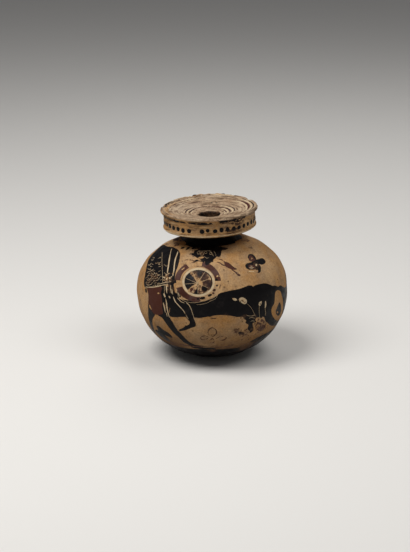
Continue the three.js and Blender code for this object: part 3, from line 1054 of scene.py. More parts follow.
def paint_running_figure(work):
    """Belt, tunic and striding legs."""
    work.fill([-21, -2.4, -18.5, -2.6, -16.8, -2.8, -16.1, -4, -15.2, -5.8, -12.8, -8.1, -10.4, -9.8,
        -9, -11.5, -8.2, -14, -7.2, -16.3, -6.7, -18.6, -8.5, -19.4, -11, -20.3, -13.6, -20.8,
        -13.9, -20.2, -12.4, -19.6, -10.9, -18.6, -9.6, -18, -9.2, -17, -10.2, -15.7, -11.5, -13.6,
        -13.5, -10.6, -16, -9.6, -17.4, -11.5, -17.2, -15.3, -16.2, -17, -15, -19, -13.8, -20.6,
        -12.3, -22.3, -10.8, -23.9, -9.3, -25.2, -7, -26.4, -5, -27.2, -8, -27.3, -9.8, -26.4,
        -11.8, -25.2, -13.6, -23.5, -15.2, -22.1, -16.7, -20.5, -18, -18.8, -19.3, -17, -20.6, -15.3,
        -22.3, -14.1, -21.2, -12])
    work.fill([-26.3, -9.6, -25.4, -10.9, -24.6, -12.3, -23.4, -13.6, -23.8, -14.7, -24.4, -15.8,
        -24.5, -17.9, -23.9, -19.9, -22.9, -22.2, -24, -21.3, -25.2, -19.1, -25.9, -16.6, -26.3, -13.3])
    work.brush([-9.1, -26.7, -7.1, -27.2, -5, -27.4, -1.7, -27.9, 1.6, -28.4], (1, 1.5, 1.6, 1.5, 1))
    work.brush([-27.3, -3.2, -27.2, -5], 0.8)
    work.fill([-26.3, -3, -20.9, -2.6, -21, -5, -20.5, -8.5, -20.4, -11, -20.2, -13.5, -22.3, -14.1,
        -23.8, -13.7, -24.8, -12.6, -25.7, -11.2, -26.2, -9.5, -26.3, -6, -26.5, -4.5], 1, 1)
    work.coat(oval(-22.1, -5.2, 0.4, 0.35, corners=10), 0)
    work.brush([-25.7, -10, -25.5, -10.9, -24.9, -11.9], (0.4, 0.5, 0.3), 0)
    work.incise([-27.5, -2.6, -25.6, -2.7, -23.5, -2.6, -21.9, -2.3, -20.2, -1.8, -18.6, -1.5,
        -17.4, -1.2, -15.3, -0.1], (0.5, 0.8, 0.7, 0.5, 0.6, 0.4))
    work.incise([-22.7, -1.5, -21.1, -1.2, -19.4, -0.8, -18.2, -0.6, -16.8, -0.3], (0.3, 0.5, 0.4))
    work.incise([-18.9, -2.2, -18.8, -3.7, -18.5, -5.3], (0.5, 0.7, 0.4))
    work.incise([-17.1, -2.2, -17, -3.7, -16.7, -5.3], (0.4, 0.6, 0.4))
    work.fill([-18.2, -1, -16.9, -0.5, -15.1, 0.4, -14.3, -1.4, -14.2, -3.9, -12.8, -6.7, -15.7, -6.9,
        -17.5, -5.1], 0.96)
    work.fill([-15.8, -1.5, -14.9, -1, -14.4, -2.2, -14.3, -3.9, -14.6, -5.1, -15.2, -4.8,
        -15.5, -3.3], 0.5)
    work.incise([-17.1, -1.8, -17, -3.7, -16.7, -5.3], (0.4, 0.6, 0.4))
    work.incise([-14.1, -4.8, -13.4, -6.3], 0.5)
    work.incise([-19.7, -1.8, -19.6, -3.9, -19.7, -5.3], 0.22)
    work.incise([-18.8, -2, -18.5, -4.1], (0.4, 0.6, 0.3))
    work.brush([-19.9, -5.3, -19.3, -6.8], 0.6, PALE_SCRATCH_AND_HIGHLIGHT)
    work.brush([-17.8, -6.3, -17.3, -7.2], 0.4, PALE_SCRATCH_AND_HIGHLIGHT)
    work.incise([-19.2, -7.3, -18.8, -8.8, -18.1, -12.9, -17.5, -15.2], (0.3, 0.8, 0.9, 0.8, 0.4))
    work.incise([-20.1, -9, -19.5, -10.9, -19.1, -13.2], (0.5, 0.8, 0.4))
    work.incise([-18.8, -12.9, -18.4, -14.8], (0.3, 0.6, 0.3))
    work.incise([-16.6, -3.4, -16.2, -5.7], (0.5, 0.6, 0.3))
    work.incise([-16, -6.5, -15.5, -8, -14.7, -9.2], (0.4, 0.8, 0.8))
    work.incise([-14.8, -9.1, -12.1, -11.9, -11, -13.6], (0.7, 0.5, 0.5))
    work.incise([-10.8, -13.9, -9.8, -15.8], (0.5, 0.4))
    work.incise([-14.4, -7, -12.8, -8.6, -11.4, -9.2], (0.3, 0.5, 0.3))
    work.incise([-10.6, -9, -9.4, -10.2, -8.4, -12.3, -7.3, -16], (0.6, 0.5, 0.4, 0.3))
    work.rub((-19.5, -10.5), 1.6, 0.45)
    work.rub((-13.8, -20.4), 0.8, 0.5)


def paint_lowered_head(work, board):
    """The animal's thick neck and lowered head, round the pot's right side."""
    work.local_at(80, 24)
    work.fill([-12.5, 6.3, -8.5, 7.9, -3.2, 5.6, 2.2, 5, 7, 2.4, 9.3, -2, 7.9, -6.6, 4.2, -9.6,
        0, -10.7, -4.3, -10.6, -9, -9.3, -13.4, -8, -15.5, -5.5, -14, -2, -13, 3])
    work.fill([4.4, 4, 7.6, 7.4, 9.6, 8.2, 9, 5.6, 7.4, 2.2])
    work.fill([0.6, 4.8, 1.6, 8.4, 4.6, 10.6, 4.4, 9, 3, 7, 3.2, 4.6])
    for k in range(4):
        work.incise([(-2.4 + k * 1.5, 4.9 - k * 0.3), (-1.5 + k, 1.5), (-3 + k, -1.6)], 0.22)
    work.incise([3, -0.2, 4.4, -4.4, 1.6, -8, -3, -8.6], 0.26)
    work.coat(oval(5.2, -4.6, 1, 0.8, -30, 18), PALE_SCRATCH_AND_HIGHLIGHT)
    work.coat(oval(5.2, -4.6, 0.62, 0.48, -30, 14))
    work.incise([-9.6, -8.6, -8.2, -7.4, -6.4, -7.6], 0.22)
    work.rub((2, -2), 3.5, 0.3)
    work.sketch_on(board)


def paint_animal(work, board):
    """The long dark animal on the right, behind the running figure."""
    work.fill([-17, -9, -14, -7.6, -9, -8.2, -4, -8.2, 1.2, -6.6, 2.8, -5.4, 4.5, -4.8, 7, -4.2,
        9.5, -3.7, 12, -3.1, 15, -2, 16.4, -2, 17, -2.4, 18, -1.8, 20, -1.3, 22, -1, 24, -1.6,
        25, -2.1, 25.8, -2, 27, -2.4, 28, -2.8, 28.4, -6, 28.6, -12, 28.4, -16, 27.6, -18, 26, -18.6,
        24.5, -18.6, 23, -18, 22.1, -16.8, 21.7, -15.4, 21, -14.9, 20.4, -15.7, 19.4, -15.5,
        17.5, -15.3, 15.6, -15.3, 14, -15.1, 11.5, -15.2, 8.2, -14.6, 4.1, -14.2, 1, -14.4, -1, -14.9,
        -3, -15.1, -5, -15.4, -7, -15.2, -11, -14.9, -17, -14.8, -17.2, -12])
    work.brush([0.5, -15.6, 4, -15.3, 8, -15.9, 11.5, -16], (0.4, 0.8, 0.5), 0.6, 0.2)
    paint_lowered_head(work, board)
    work.fill([28.4, -4.7, 28.9, -6.5, 29.2, -8.5, 29.3, -10.5, 29.1, -12.5, 28.6, -14.4, 27.8, -15.9,
        26.9, -16.5, 26, -16, 25, -14.3, 24.6, -12.3, 25, -10.7, 25.8, -9.2, 26, -7.2, 26.1, -5.5,
        26.4, -4.35, 27.2, -3.9, 28, -4.2], 0)
    work.fill([27.9, -8.9, 28.4, -10.1, 28.5, -12.3, 28, -13.9, 27.1, -14.5, 26.4, -13.2, 26.8, -11.4,
        27.3, -10])
    work.coat(oval(27.1, -13.1, 0.3, 0.4, 0, 10), 0)
    work.fill([8.4, -7.4, 9, -7.2, 9.9, -7.4, 10.3, -8, 9.6, -8.3, 8.9, -8.1], PALE_SCRATCH_AND_HIGHLIGHT)
    work.fill([11.1, -7.6, 12.1, -6.9, 13.4, -7.2, 14.4, -8.2, 14.2, -9.4, 13.2, -9.7, 12.2, -9.1,
        11.5, -8.6], PALE_SCRATCH_AND_HIGHLIGHT)
    work.brush([11, -7.8, 11.8, -8.1], 0.3, 0.7)
    work.brush([12.2, -7.9, 12.9, -8.3, 12.8, -8.9], (0.2, 0.5, 0.3), 0.66, 0.3)
    work.brush([12, -7.9, 12.7, -8.5, 13.3, -8.6], (0.2, 0.45, 0.2), 0.9, 0.2)
    work.brush([13.4, -9.3, 14, -8.7], 0.26, 0.9)
    work.brush([11.6, -8.3, 12.1, -8.9], 0.3, 0.9)
    work.brush([9, -7.8, 9.5, -7.7], 0.24, 0.6)
    work.brush([12.4, -7.4, 13.4, -8.8, 12.8, -9.3], 0.3, 0.55)
    work.brush([8.4, -7.2, 9.2, -7.8], 0.3, 0.5)
    work.fill([20.6, -8.5, 20.4, -9.7, 19.8, -10.5, 19.3, -9.9, 19.6, -9], PALE_SCRATCH_AND_HIGHLIGHT)
    work.brush([19.9, -9.2, 20, -10], 0.4, 0.9)
    work.brush([22.2, -8.4, 22.2, -9.9, 21.9, -11.4], (0.3, 0.6, 0.3), PALE_SCRATCH_AND_HIGHLIGHT)
    work.incise([19.5, -10.5, 19.5, -12.9, 19.8, -15.8], 0.22)
    work.incise([21.9, -11.3, 22.2, -13.1, 22.1, -14.6], 0.2)
    work.incise([14.6, -9.6, 15.6, -10.5, 16.7, -12.1, 17.7, -14.2, 18.5, -15.4], 0.2)
    # Below the animal: smears of slip, and thin brown washes that are partly slip and partly painted
    # shade on the lower right of the belly.
    work.fill([11.5, -17.5, 14.8, -16.8, 18.1, -16.8, 20.6, -17.5, 22.2, -19.1, 20.2, -21.2,
        16.5, -23.2, 11.5, -24.9, 7.8, -24.1, 8.2, -21.2, 9.9, -18.7], 0.44, 0.2)
    work.fill([9.9, -15.2, 12.7, -15, 15.2, -15.4, 15.6, -17.1, 14, -17.6, 11.5, -16.6], 0.5)
    work.fill([12.7, -14, 15.6, -14.3, 18.5, -14.6, 18.9, -15.6, 17.9, -16.2, 18.4, -17.1, 16.9, -17.6,
        16.8, -19.3, 15.6, -20.8, 14.6, -19.8, 15, -18.3, 13.8, -17.5, 14.1, -16.5, 13, -15.6], 0.97)
    work.fill([10.7, -21.6, 11.9, -21, 13.6, -21.6, 13.2, -22.8, 11.5, -23], 0.62)
    work.fill([18.1, -15.6, 19.8, -15.3, 21.8, -16.6, 23.9, -18.5, 24.3, -19.5, 22.2, -20.8,
        19.8, -21.8, 18.1, -20.8, 17.5, -19.1, 18.3, -17.5], 0.53, 0.3)
    work.incise([14.2, -14.3, 15.8, -14.6, 17.9, -14.3], 0.3)
    work.incise([15.2, -15.6, 16.5, -15.2, 17.7, -15.6], 0.3)
    work.incise([15.9, -16.9, 16.9, -16.6, 17.7, -17], 0.26)
    work.brush([16.7, -18.7, 16.5, -20.1, 15.5, -21.6], (0.6, 1.4, 0.5), 0.85)
    work.brush([11.7, -22.6, 13, -23.4, 14.4, -24.5], (0.5, 1.2, 0.5), 0.6)
    work.brush([11, -24, 13.2, -24.8, 15.4, -24.1], (0.7, 1.6, 0.6), 0.58)
    work.brush([18.2, -20.9, 20.2, -21.8, 22, -20.8], (0.5, 1.3, 0.5), 0.6)
    # Thin washes at either side of the neck: partly slip, partly painted shade under the plate.
    work.fill([-19.8, 15.4, -18.2, 16.8, -15.3, 17.8, -12, 16.8, -10.8, 15.1, -13.6, 14.3, -16.5, 13.9,
        -19, 14.3], 0.5, 0.3)
    work.fill([9.9, 16.2, 12.7, 17.2, 15.6, 16.6, 14, 15.5, 11.5, 14.7], 0.5, 0.3)
    work.rub((22, -6), 4.5, 0.1)
    work.rub((11, -8), 2.2, 0.15)
    work.rub((6, -14.2), 3, 0.2)
    work.rub((18, -13.5), 2.4, 0.2)


def paint_shield(work):
    """The round shield: reserved ring, purple band, wheel in the middle."""
    x, y = -5.6, -0.6

    def sector(first, last, inner, outer):
        """A piece of the band between two turns, as shares of its radius."""
        turn = np.radians(np.linspace(first, last, max(4, abs(last - first) // 6)))
        arc = np.column_stack([8.9 * np.cos(turn), 8 * np.sin(turn)])
        return np.vstack([arc * outer, arc[::-1] * inner]) + (x - 0.1, y + 0.2)

    work.coat(oval(x, y + 0.2, 9.15, 8.3, 0, 72), 0)
    for first, last, inner, outer, film, red in ((121, 176, 0.83, 1.09, 0.92, 0.6),
            (2, 79, 0.78, 1.05, 0.95, 0.5), (-128, -84, 0.79, 1.06, 0.88, 0.5),
            (-162, -128, 0.78, 1.07, 0.95, 0.4), (79, 121, 0.8, 1.02, 0.34, 0),
            (176, 198, 0.8, 1.02, 0.3, 0.2), (-84, 2, 0.82, 1, 0.42, 0.2)):
        work.coat(sector(first, last, inner, outer), film, red)
    work.coat(oval(x, y, 6.68, 5.98, 0, 60), PALE_SCRATCH_AND_HIGHLIGHT)
    work.coat(oval(x, y, 5.8, 5.1, 0, 56), 0.95)
    work.fill([-6.2, 3.6, -3.8, 3.8, -1.7, 2.7, -0.5, 0.7, -0.3, -1.4, -1, -3.4, -2.5, -4.8,
        -5.4, -5.3, -6, -3, -5.6, -1], 0.63, 0.2)
    work.fill([-9.1, 3.2, -6.6, 4, -4.2, 3.9, -4.6, 1.5, -6, -0.6, -7.6, 1.3], 0.72)
    work.fill([-4.2, -2, -2.5, -2.2, -1.4, -3, -2.4, -4.5, -3.9, -4.8, -4.5, -3.3], 0.68)
    work.fill([-6.5, -1.2, -6.2, -2.6, -7.3, -4.8, -9.1, -5, -10.1, -4.3, -8.7, -2.6], 0.72, 0.6)
    hub = (-6.2, -1)
    for tip in [(-8.2, 3.9), (-2.9, 3.7), (-0.4, 1), (-1.5, -3.1), (-5.8, -5.4), (-11.2, -1.4),
        (-10.6, 0.8), (-8.5, -5.1)]:
        middle = ((hub[0] + tip[0]) / 2 + 0.1, (hub[1] + tip[1]) / 2)
        work.incise([hub, middle, tip], (0.4, 0.22, 0.28))
    work.coat(oval(*hub, 0.34, 0.3, 0, 10), PALE_SCRATCH_AND_HIGHLIGHT)
    # Blots that are left on the worn part of the band
    for px, py, wide, high, tilt, red in ((1.8, 0.4, 0.6, 0.5, 0, 0), (2, -2, 0.5, 0.45, 30, 0.2),
            (0.9, -3.9, 0.7, 0.55, 30, 0.3), (0.5, -5.2, 0.5, 0.45, 0, 0.4), (-0.9, -6, 1, 0.5, 25, 0),
            (-3.9, -7.2, 1.15, 0.6, 8, 0), (-5.8, -7.5, 0.5, 0.4, 0, 0), (-7.6, -7.8, 0.6, 0.4, 0, 1)):
        work.coat(oval(px, py, wide, high, tilt, 12), 1, red)
    work.coat(oval(2.2, 1.9, 0.45, 0.35, 40, 10), 0)
    work.brush([-8.9, 5.4, -6.6, 5.9, -4.6, 6, -3.2, 5.6], (0.2, 0.36, 0.2), 0.7)
    work.brush([-9.9, 6.6, -7.8, 7.7, -5.8, 8.1, -4.3, 8.3], (0.25, 0.5, 0.3), 0.6, 0.2)
    work.brush([-11.9, 8.2, -9.4, 8.7, -7, 8.1], (0.3, 0.6, 0.3), 0.6, 0.2)
    work.brush([-12.6, 4.4, -11.4, 5.4], 0.4, 0)
    work.incise([-14.7, -3.3, -14.3, -5.3, -13.3, -7, -11.2, -8.5, -7.8, -9.1, -4.9, -8.7, -2.2, -7.9,
        0.7, -7, 1.7, -5.6], 0.27)
    work.incise([-6.5, -9.9, -4.9, -9.8, -2.2, -9.2, -0.5, -8.3, 1.4, -7.4, 2.4, -5.6], 0.22)
    work.brush([3.4, -0.4, 3.5, -1.5, 3, -3.4, 2.8, -5.1], (0.2, 0.35, 0.2), 0.62, 0.3)
    work.rub((-13.4, 3.2), 1.6, 0.3)
    work.rub((-8.4, 5.4), 2.2, 0.3)
    work.rub((1.5, -4), 2, 0.2)


def paint_head_and_spear(work):
    """A plain rounded head with a helmet line, an arm, locks and the spear."""
    work.fill([-6.6, 13.6, -2.5, 13, 1, 13.2, 3.4, 13.4, 3.3, 11.8, 2.8, 10.4, 1.4, 9.8, 0, 9.6,
        -1.3, 8.3, -3.4, 7.8, -5, 8.8, -6.4, 9.6, -7.8, 10.6, -7.4, 12.2], 0.9)
    work.fill([-5.2, 12.4, -4.4, 13.9, -1.7, 14.3, 1.6, 14.3, 4.3, 13.6, 3.9, 12.1, 3.5, 10.4,
        2.5, 9.8, 0.8, 11, -2.1, 11.6, -4.2, 11.6])
    work.fill([-2.9, 7.7, -1.3, 8.8, 0, 10.2, 1.8, 10, 0.5, 8.5, -0.7, 7.3, -2.4, 6.3], 0.95)
    work.coat(oval(-4.6, 9.6, 1.2, 0.42, 8, 14), 0)
    for px, py, wide in ((-5.6, 11.6, 0.62), (-4.2, 11.2, 0.7), (-2.6, 11.7, 0.5), (-0.6, 11.2, 0.45)):
        ring = oval(px, py, wide, wide * 0.9, 0, 12)
        work.incise(np.vstack([ring, ring[:1]]), 0.22)
    work.incise([-5.9, 12.6, -4.2, 12.2, -2.2, 12.4, -0.2, 12.2], 0.2)
    work.incise([-1.2, 12.5, -0.2, 11.5, 0.6, 10.1], 0.26)
    work.incise([0.6, 12.2, 1.4, 11.2, 1.6, 10.2], 0.22)
    work.incise([-3.4, 10.2, -2.4, 9.4, -1.4, 9.6], 0.22)
    work.coat(oval(0.1, 8.1, 0.42, 0.5, 0, 12), 0.95)
    work.brush([-13, 13.2, -12.2, 13.5, -11.3, 13.8], (0.4, 0.75, 0.5), 0.92)
    work.brush([-10.9, 12.7, -10.1, 13.3, -9.2, 13.9], (0.4, 0.85, 0.6), 0.98)
    work.brush([-8.5, 13.3, -7.7, 13.5, -6.8, 13.7], (0.6, 0.85, 0.5), 0.98)
    work.brush([-7.1, 12.8, -6, 13], 0.4, 0.5)
    work.brush([-9.9, 10.8, -8.9, 11.1, -8.3, 11.2], (0.3, 0.6, 0.6), 0.66)
    work.coat(oval(-8, 11, 0.6, 0.55, 0, 14), 0.98)
    work.brush([-8.1, 9.8, -7.6, 10.3], 0.4, 0.7)
    work.brush([-12.8, 9.8, -11.6, 10.2, -9.8, 9.9], (0.3, 0.42, 0.3), 0.62)
    work.brush([-12.2, 8.3, -12, 7, -11, 6.9, -9.8, 7], (0.2, 0.4, 0.5, 0.3), 0.62)
    work.brush([-9.7, 6, -8.5, 6.9, -7.5, 7.5, -6.5, 7.9], (0.3, 0.42, 0.3), 0.6)
    work.brush([-7.3, 8, -6.5, 8.4, -5.6, 8.4], (0.4, 0.75, 0.5), 0.95)
    work.brush([-5.4, 8.1, -4.4, 8.1, -3.2, 7.9], (0.3, 0.6, 0.8), 0.95)
    work.fill([5, 7.6, 6, 7.6, 7.4, 6.7, 8.7, 5.7, 10.2, 4.8, 9.4, 4.5, 8.4, 4.6, 7.4, 4.9, 6.1, 5.5,
        5.2, 6.2], 0.8, 0.75)
    work.brush([5, 7.5, 6, 7.5, 7.4, 6.7, 8.9, 5.5, 10.2, 4.9], 0.3, 0.95, 0.3)
    work.brush([2.8, 8.8, 3.7, 8.7, 4.7, 8, 5.6, 7.3], (0.3, 0.5, 0.5), 0.8, 0.5)
    work.brush([1.8, 7.6, 3.1, 7.3, 4.1, 6.6, 5.2, 6.1], (0.3, 0.5, 0.5), 0.78, 0.3)
    work.brush([8, 4.7, 9, 4, 10.1, 3.2, 10.8, 2.5, 11.7, 2.1], (0.35, 0.45, 0.6, 1, 0.9), 0.95, 0.4)
    work.brush([10.1, 5, 11.1, 4.3, 12.2, 3.4], (0.3, 0.3, 0.2), 0.56)
    work.brush([10.3, 3.6, 11.1, 3.8], 0.4, 0.5)
    work.rub((-4.6, 12), 2, 0.2)


def paint_blot_rosette(work, x, y, size, tilt):
    """A rosette of five brush blots with scratched petals, as the gaps of a frieze have."""
    for k in range(5):
        turn = math.radians(tilt + 72 * k)
        px, py = x + 2 * size * math.cos(turn), y + 1.9 * size * math.sin(turn)
        work.coat(oval(px, py, 1.55 * size, 1.15 * size, math.degrees(turn), 20), 0.85)
    work.coat(oval(x, y, 1.5 * size, 1.4 * size, 0, 20), 0.85)
    for k in range(5):
        turn = math.radians(tilt + 36 + 72 * k)
        tip = (x + 2.1 * size * math.cos(turn), y + 2 * size * math.sin(turn))
        work.incise([(x, y), ((x + tip[0]) / 2, (y + tip[1]) / 2), tip], 0.2)


def paint_small_fill(work):
    """Rosettes and marks between the figures on the front."""
    work.fill([14.8, 10, 15.2, 10.6, 16.2, 10.8, 17.3, 10.2, 18, 9.2, 18.2, 8.3, 16.9, 7.9, 15.5, 8.2,
        15, 9], 0.78, 0.75)
    work.brush([14.8, 9.3, 15.2, 10.5, 16.3, 10.7, 17.3, 10, 18.1, 8.8], (0.4, 0.6, 0.7, 0.6), 1)
    work.fill([16.6, 7.9, 18.1, 8.7, 19.3, 9, 20.4, 9.4, 21.3, 9.1, 22.1, 8.1, 21.9, 7.2, 20.6, 6.7,
        19.4, 6.9, 20.1, 6, 20.2, 4.8, 20, 3.7, 19.3, 3.2, 18.4, 3.5, 18.1, 4.6, 17, 4.5, 15.8, 4.4,
        14.8, 4.8, 14, 5.4, 13.7, 6.5, 14.6, 7.3, 15.6, 7.5], 0.95)
    work.fill([16.9, 7.5, 18.4, 7.9, 19.1, 7, 19.2, 5.4, 18.3, 4.9, 17.4, 5.9], 0.86)
    work.coat(oval(18.3, 6.6, 0.36, 0.5, 0, 10), PALE_SCRATCH_AND_HIGHLIGHT)
    work.fill([15.2, 6.5, 16.6, 6.6, 17.5, 6.2, 17.6, 5.3, 16.6, 4.9, 15.3, 5.2], 0.95, 0.7)
    work.brush([15.3, 5.5, 16.4, 5.3, 17.4, 5.5], (0.15, 0.35, 0.15), PALE_SCRATCH_AND_HIGHLIGHT)
    work.brush([15.8, 6.1, 16.8, 6], (0.15, 0.25, 0.15), PALE_SCRATCH_AND_HIGHLIGHT)
    work.coat(oval(16.4, 9.2, 0.4, 0.3, 30, 10), 0.5)
    work.brush([15.8, 4.5, 17.3, 4.4], 0.3, 0.62)
    work.coat(oval(16.2, 3.8, 1.2, 0.26, -4, 14), PALE_SCRATCH_AND_HIGHLIGHT)
    work.brush([14.1, 4, 14.8, 3.5, 15.7, 3.2], (0.4, 0.55, 0.3), 0.6)
    work.coat(oval(18.6, 4, 0.45, 0.5, 0, 10), 0.62)
    work.brush([-22.8, -18.6, -22.1, -19.2, -21.1, -20.5, -19.8, -21.3, -18.2, -22.1, -16.4, -23.3],
        (0.6, 1.5, 1.8, 1.5, 1.2, 0.6))
    work.brush([-23.3, -20.2, -21.9, -21.3, -20.4, -22.5, -19, -23.6, -17.4, -25],
        (0.6, 1.2, 1.4, 1.3, 0.6))
    for px, py, size in ((8, 1.5, 0.5), (9.2, 0.3, 0.7), (7, -1.2, 0.45), (4.6, 1.9, 0.35),
            (7.6, 3.4, 0.3), (6.1, 4.6, 0.35), (10.6, 2.9, 0.3), (19.4, 0.4, 0.4), (24.6, 3.2, 0.35),
            (22.8, 8.4, 0.4), (23.4, 9.6, 0.3), (12, 11.4, 0.35), (-2, -17.4, 0.4), (6.6, -18, 0.35)):
        work.brush([(px - size, py - 0.2), (px, py + 0.1), (px + size, py)], size * 0.9, 0.56)
    # A rosette worn to its thin outline
    for spots in ([-1.1, -22.6, -1.7, -21.4, -1.3, -20.1, 0, -19.4, 1.4, -20.1, 1.8, -21.4, 1, -22.7,
            -0.2, -23.1], [-1.5, -23.3, -2.9, -22.7, -4.4, -23.1, -4.7, -23.8, -3.8, -24.4, -2.4, -24.2,
            -1.6, -23.6], [-1.2, -24.8, 0, -24, 0.9, -24.7, 0.4, -25.5, -0.9, -25.5],
            [1.6, -24.1, 2.8, -23.3, 4.5, -23.1, 5.9, -23.5, 4.9, -24.4, 3.1, -24.7]):
        work.brush(spots, (0.2, 0.5, 0.35, 0.55, 0.25), 0.7, 0.25)
    work.brush([-0.8, -22.4, 1.4, -22.3], 0.4, 0.6)
    work.brush([-2, -14.9, 0.5, -15.6, 4, -15.2, 7, -15.9], (0.3, 0.6, 0.3), 0.6)
    work.brush([8, -16.2, 10.5, -15.9, 13.5, -16.6], (0.4, 0.8, 0.4), 0.6)
    work.brush([-5.6, -19.2, -4.6, -20.2], 0.4, 0.55)


def paint_bird(work):
    """A standing waterbird with a folded, incised wing, drawn round a place on the far side."""
    work.fill([-13.5, 1, -12, -1.5, -9, -3.4, -5, -5, -1, -5.6, 3, -4.6, 5.6, -2.2, 6.6, 1, 6.4, 4.2,
        7.4, 6.8, 9.4, 7.6, 11.6, 6.9, 13.2, 6, 12.6, 7.6, 10.8, 9.2, 8.4, 9.7, 6, 8.8, 4.4, 6.6,
        3.4, 3.9, 1.2, 2.6, -3, 3.2, -8, 3.2])
    work.fill([-11, 2.4, -15.5, 3.4, -19, 2.6, -16, 1, -13, 0.2], 0.95)
    work.fill([-2.6, 1.8, 1.2, 1.6, 3.2, -0.2, 1.6, -2.8, -2.2, -3.6, -4, -1], 1, 1)
    work.incise([-2.6, 2.2, -4.1, -0.8, -2.3, -4], 0.28)
    for k in range(5):
        y = 1.9 - 1.15 * k
        start = -3.4 - 0.35 * k
        work.incise([(start, y), (start - 4, y + 0.1), (start - 8.2 + k * 0.9, y + 0.5)], 0.22)
    work.incise([6.9, 5.2, 8, 6.6, 9.6, 8.6], 0.2)
    work.coat(oval(9.7, 8.3, 0.38, 0.34, 0, 10), 0)
    work.incise([11, 7.9, 12.4, 7], 0.2)
    for x, foot in ((-2, -1.6), (1.8, 2.4)):
        work.brush([(x, -5), (x - 0.5, -7.6), (foot - 1, -9.8)], (1.1, 0.6, 0.6))
        work.brush([(foot - 1.6, -9.8), (foot + 0.4, -10), (foot + 2.2, -10.4)], (0.6, 0.8, 0.4))
    work.rub((3, 2), 3, 0.35)


def paint_body(work, board):
    """All paint on the body, in the order in which it lies."""
    skin = work.skin
    part = skin.part
    reach = part.seat_radius + part.fillet_reach
    crown = skin.climb_at_height(shoulder_height(part, reach + 0.3))
    work.belt(crown - 0.02, skin.climb[-1] + 0.02, 1, 0, 0.018)
    work.sketch_on(board)
    # The first two strokes are thin washes at either side of the neck: partly slip, partly painted shade
    # under the plate.
    work.brush([9.5, 15.8, 13, 15, 16.8, 13.4], (1.4, 2, 0.6), 0.58)
    work.brush([-17, 17.2, -13.6, 16.4, -11.2, 15.8], (0.6, 1.7, 1.4), 0.42, 0.6)
    work.brush([1, 14.2, 4.5, 13.2, 6.5, 13.4], (1.6, 1.6, 0.6), 0.7)
    paint_wing(work)
    paint_animal(work, board)
    paint_running_figure(work)
    paint_shield(work)
    paint_head_and_spear(work)
    paint_small_fill(work)
    # The ground line and the dark ring round the foot
    foot = skin.climb_at_height(8.5)
    work.belt(-0.02, foot, 0.95, 0, 0.012)
    work.to_chart = lambda spots: np.array([(math.radians(degrees),
        skin.climb_at_height(height)) for degrees, height in spots])
    edge = [(10, 8), (26, 8.8), (36, 11), (43, 12.4), (57, 13), (80, 13.2), (104, 12.4), (128, 10.6)]
    work.coat([*edge, (150, 8), (150, 5.5), (10, 5.5)], 0.94)
    line = skin.climb_at_height(10)
    work.belt(line, line + 0.018, 0.68, 0.5, 0.006)
    # The far side
    work.local_at(-120, 27.5, 2)
    paint_bird(work)
    work.local_at(136, 28, -4)
    paint_bird(work)
    for degrees, height, size, tilt in ((-91, 25.6, 1, 12), (-128, 40, 0.7, 40),
            (-150, 38.5, 0.8, 25), (-158, 17, 0.75, 5), (104, 37, 0.8, 30), (116, 14.5, 0.8, 50),
            (158, 39, 0.75, 15), (164, 17, 0.8, 33), (-104, 13.5, 0.7, 8)):
        work.local_at(degrees, height)
        paint_blot_rosette(work, 0, 0, size, tilt)
    work.sketch_on(board)
    work.rub((12, 15), 3, 0.6)
    work.rub((0, -28.2), 3, 0.3)
    work.rub((14, -27), 5, 0.5)
    work.rub((-7, -22.6), 2, 0.2)
    work.local_at(150, 30)
    work.rub((0, 0), 6, 0.45)
    work.local_at(-105, 32)
    work.rub((0, 0), 4, 0.4)


